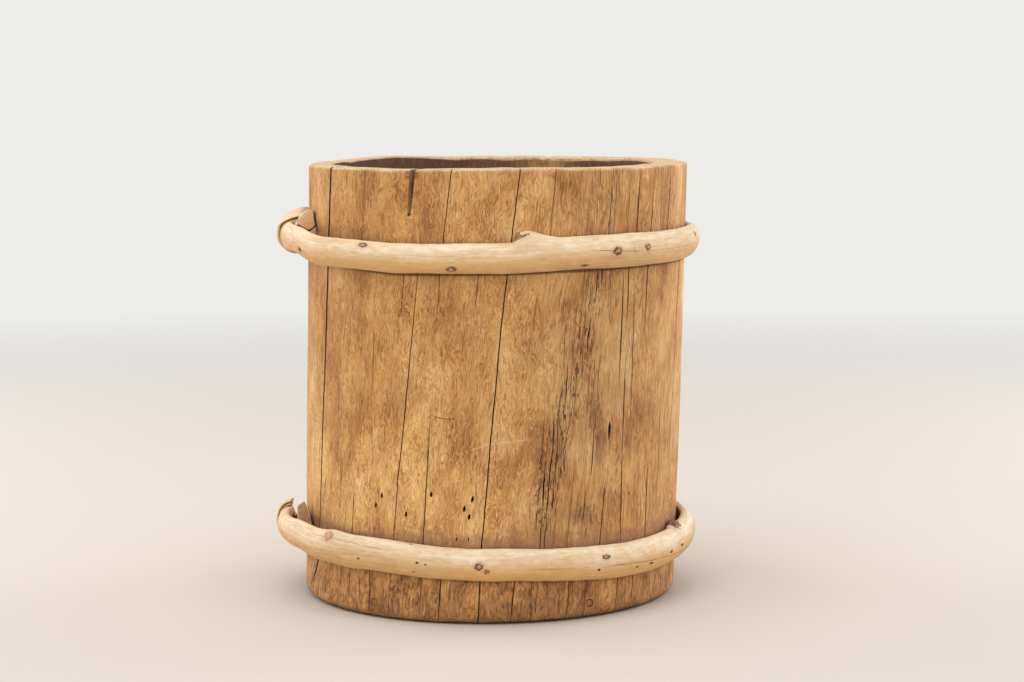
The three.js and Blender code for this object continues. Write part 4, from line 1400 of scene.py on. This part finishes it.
def cut_holes(piece, cutters):
    """Takes the cutters' shapes out of a piece and applies the result."""
    for cutter in cutters:
        modifier = piece.modifiers.new("hole", "BOOLEAN")
        modifier.operation = "DIFFERENCE"
        modifier.solver = "MANIFOLD"
        modifier.object = cutter
    depsgraph = bpy.context.evaluated_depsgraph_get()
    cut = bpy.data.meshes.new_from_object(piece.evaluated_get(depsgraph))
    piece.modifiers.clear()
    piece.data = cut


def build_plank(number):
    """One board of the bottom: a strip across the round, with slightly wavy faces and eased edges."""
    low = -BOTTOM_RADIUS + (number - 1) * (PLANK_WIDTH + PLANK_SEAM)
    y = np.linspace(low, low + PLANK_WIDTH, POINTS_ACROSS)
    y = np.clip(y, -BOTTOM_RADIUS + 0.5, BOTTOM_RADIUS - 0.5)
    reach = np.sqrt(BOTTOM_RADIUS**2 - y**2)
    along = np.linspace(-1, 1, POINTS_ALONG)[:, None]
    x = BORE_OFFSET + along * reach
    edge = np.minimum(y - y[0], y[-1] - y)
    eased = 0.8 * np.exp(-((edge / 1.2) ** 2))
    plane = np.stack(np.broadcast_arrays(x, y, 0 * x), -1) + 400 * number
    top = PLANK_THICKNESS - eased - 0.6 * np.abs(rough(plane, (90, 14, 1), number))
    across = np.concatenate([y, y[::-1]])
    z = np.concatenate([top, 0 * x], 1)
    x = np.concatenate([x, x[:, ::-1]], 1)
    rings = np.stack(np.broadcast_arrays(x + LEAN * z / TRUNK_HEIGHT, across, z), -1)
    points, faces = loft(rings[::-1])
    grain = points + 400 * number
    piece = add_mesh(f"bottom_plank_{number}_detailed", points, faces, {"grain": grain}, PLANK_WOOD)
    for face in piece.data.polygons:
        face.use_smooth = abs(face.normal.z) > 0.5
    return piece


def build_bottom():
    cutters = []
    for k, angle in enumerate(PEG_ANGLES, 1):
        start, stop = peg_ends(angle)
        peg = rod(f"bottom_peg_{k}_detailed", start, stop, PEG_RADIUS, 0.1, k)
        stand_for(peg, f"bottom_peg_{k}")
        beyond = (stop - start) / np.linalg.norm(stop - start)
        cutters.append(rod("cutter", start - beyond, stop + 8 * beyond, PEG_RADIUS + HOLE_CLEARANCE, 0, 0))
    cut_holes(trunk, cutters)
    for seam in range(1, PLANK_COUNT):
        y = -BOTTOM_RADIUS + seam * (PLANK_WIDTH + PLANK_SEAM) - PLANK_SEAM / 2
        for side in (-1, 1):
            x = BORE_OFFSET + side * PIN_SPACING / 2 + LEAN * PEG_LEVEL / TRUNK_HEIGHT
            half = PIN_LENGTH / 2 + HOLE_CLEARANCE
            ends = [(x, y - half, PEG_LEVEL), (x, y + half, PEG_LEVEL)]
            cutters.append(rod("cutter", *ends, PIN_RADIUS + HOLE_CLEARANCE, 0, 0))
    for number in range(1, PLANK_COUNT + 1):
        plank = build_plank(number)
        cut_holes(plank, cutters)
        stand_for(plank, f"bottom_plank_{number}")
    for cutter in cutters:
        bpy.data.objects.remove(cutter)


build_bottom()


# Stage, in metres
FLOOR_RADIUS = 2.6
FLOOR_FADE = 1.0  # the floor fades into the background from here to its edge
FLOOR_DROP = 0.0004
LENS = 88.1
CAMERA_PLACE = (0.0215, -2.2351, 0.4688)
CAMERA_PITCH = 6.3025  # degrees down
CAMERA_ROLL = -0.006  # radians
LAMP_TARGET = Vector((0, 0, 0.2))
WARM = (1, 0.98, 0.95)
WHITE = (1, 1, 1)

# Soft round lamps: name, location, size, power, colour
LAMPS = [
    ("overhead", (-0.3, -0.7, 2.4), 2.2, 26, WARM),
    ("front left", (-1.6, -2.4, 1.5), 1.6, 6, WARM),
    ("left rear", (-1.7, 0.9, 0.8), 1.2, 12, WHITE),
    ("right rear", (1.7, 0.9, 0.8), 1.2, 13, WHITE),
    ("front right", (1.8, -2.2, 1.2), 1.6, 4, WARM),
]


def build_floor():
    mesh = bpy.data.meshes.new("floor")
    turns = np.linspace(0, 2 * math.pi, 97)[:-1]
    corners = [(FLOOR_RADIUS * math.cos(a), FLOOR_RADIUS * math.sin(a), -FLOOR_DROP) for a in turns]
    mesh.from_pydata(corners, [], [tuple(range(len(corners)))])
    s = Shader("pale floor")
    s.surface.inputs["Base Color"].default_value = (0.62, 0.565, 0.50, 1)
    s.surface.inputs["Roughness"].default_value = 0.8
    distance = s.length(s.node("ShaderNodeTexCoord", {}).outputs["Object"])
    fade = s.span(distance, FLOOR_FADE, FLOOR_RADIUS)
    clear = s.node("ShaderNodeBsdfTransparent", {}).outputs[0]
    blend = s.node("ShaderNodeMixShader", {0: fade, 1: s.surface.outputs[0], 2: clear})
    s.tree.links.new(blend.outputs[0], s.tree.nodes["Material Output"].inputs["Surface"])
    mesh.materials.append(s.material)
    floor = bpy.data.objects.new("floor", mesh)
    bpy.context.scene.collection.objects.link(floor)


def build_world(light, background):
    world = bpy.data.worlds.new("studio")
    bpy.context.scene.world = world
    world.use_nodes = True
    tree = world.node_tree
    lit = tree.nodes["Background"]
    lit.inputs["Color"].default_value = (1, 1, 1, 1)
    lit.inputs["Strength"].default_value = light
    seen = tree.nodes.new("ShaderNodeBackground")
    seen.inputs["Color"].default_value = background
    blend = tree.nodes.new("ShaderNodeMixShader")
    tree.links.new(tree.nodes.new("ShaderNodeLightPath").outputs["Is Camera Ray"], blend.inputs[0])
    tree.links.new(lit.outputs[0], blend.inputs[1])
    tree.links.new(seen.outputs[0], blend.inputs[2])
    tree.links.new(blend.outputs[0], tree.nodes["World Output"].inputs["Surface"])


def add_lamp(name, location, size, power, colour):
    data = bpy.data.lights.new(name, "AREA")
    data.shape = "DISK"
    data.size = size
    data.energy = power
    data.color = colour
    lamp = bpy.data.objects.new(name, data)
    lamp.location = location
    lamp.rotation_euler = (LAMP_TARGET - Vector(location)).to_track_quat("-Z", "Y").to_euler()
    bpy.context.scene.collection.objects.link(lamp)


def build_camera():
    data = bpy.data.cameras.new("camera")
    data.sensor_width = 36
    data.lens = LENS
    camera = bpy.data.objects.new("camera", data)
    pitch = Matrix.Rotation(math.radians(90 - CAMERA_PITCH), 4, "X")
    roll = Matrix.Rotation(CAMERA_ROLL, 4, "Z")
    camera.matrix_world = Matrix.Translation(CAMERA_PLACE) @ pitch @ roll
    bpy.context.scene.collection.objects.link(camera)
    bpy.context.scene.camera = camera


build_floor()
build_world(0.8, (0.84, 0.84, 0.83, 1))
for lamp in LAMPS:
    add_lamp(*lamp)
build_camera()
bpy.context.scene.view_settings.view_transform = "Standard"

# The pins keep their CAD shape and get their own wood
for number in range(1, PIN_COUNT + 1):
    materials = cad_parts[f"bottom_pin_{number}"].data.materials
    materials.clear()
    materials.append(pin_material())
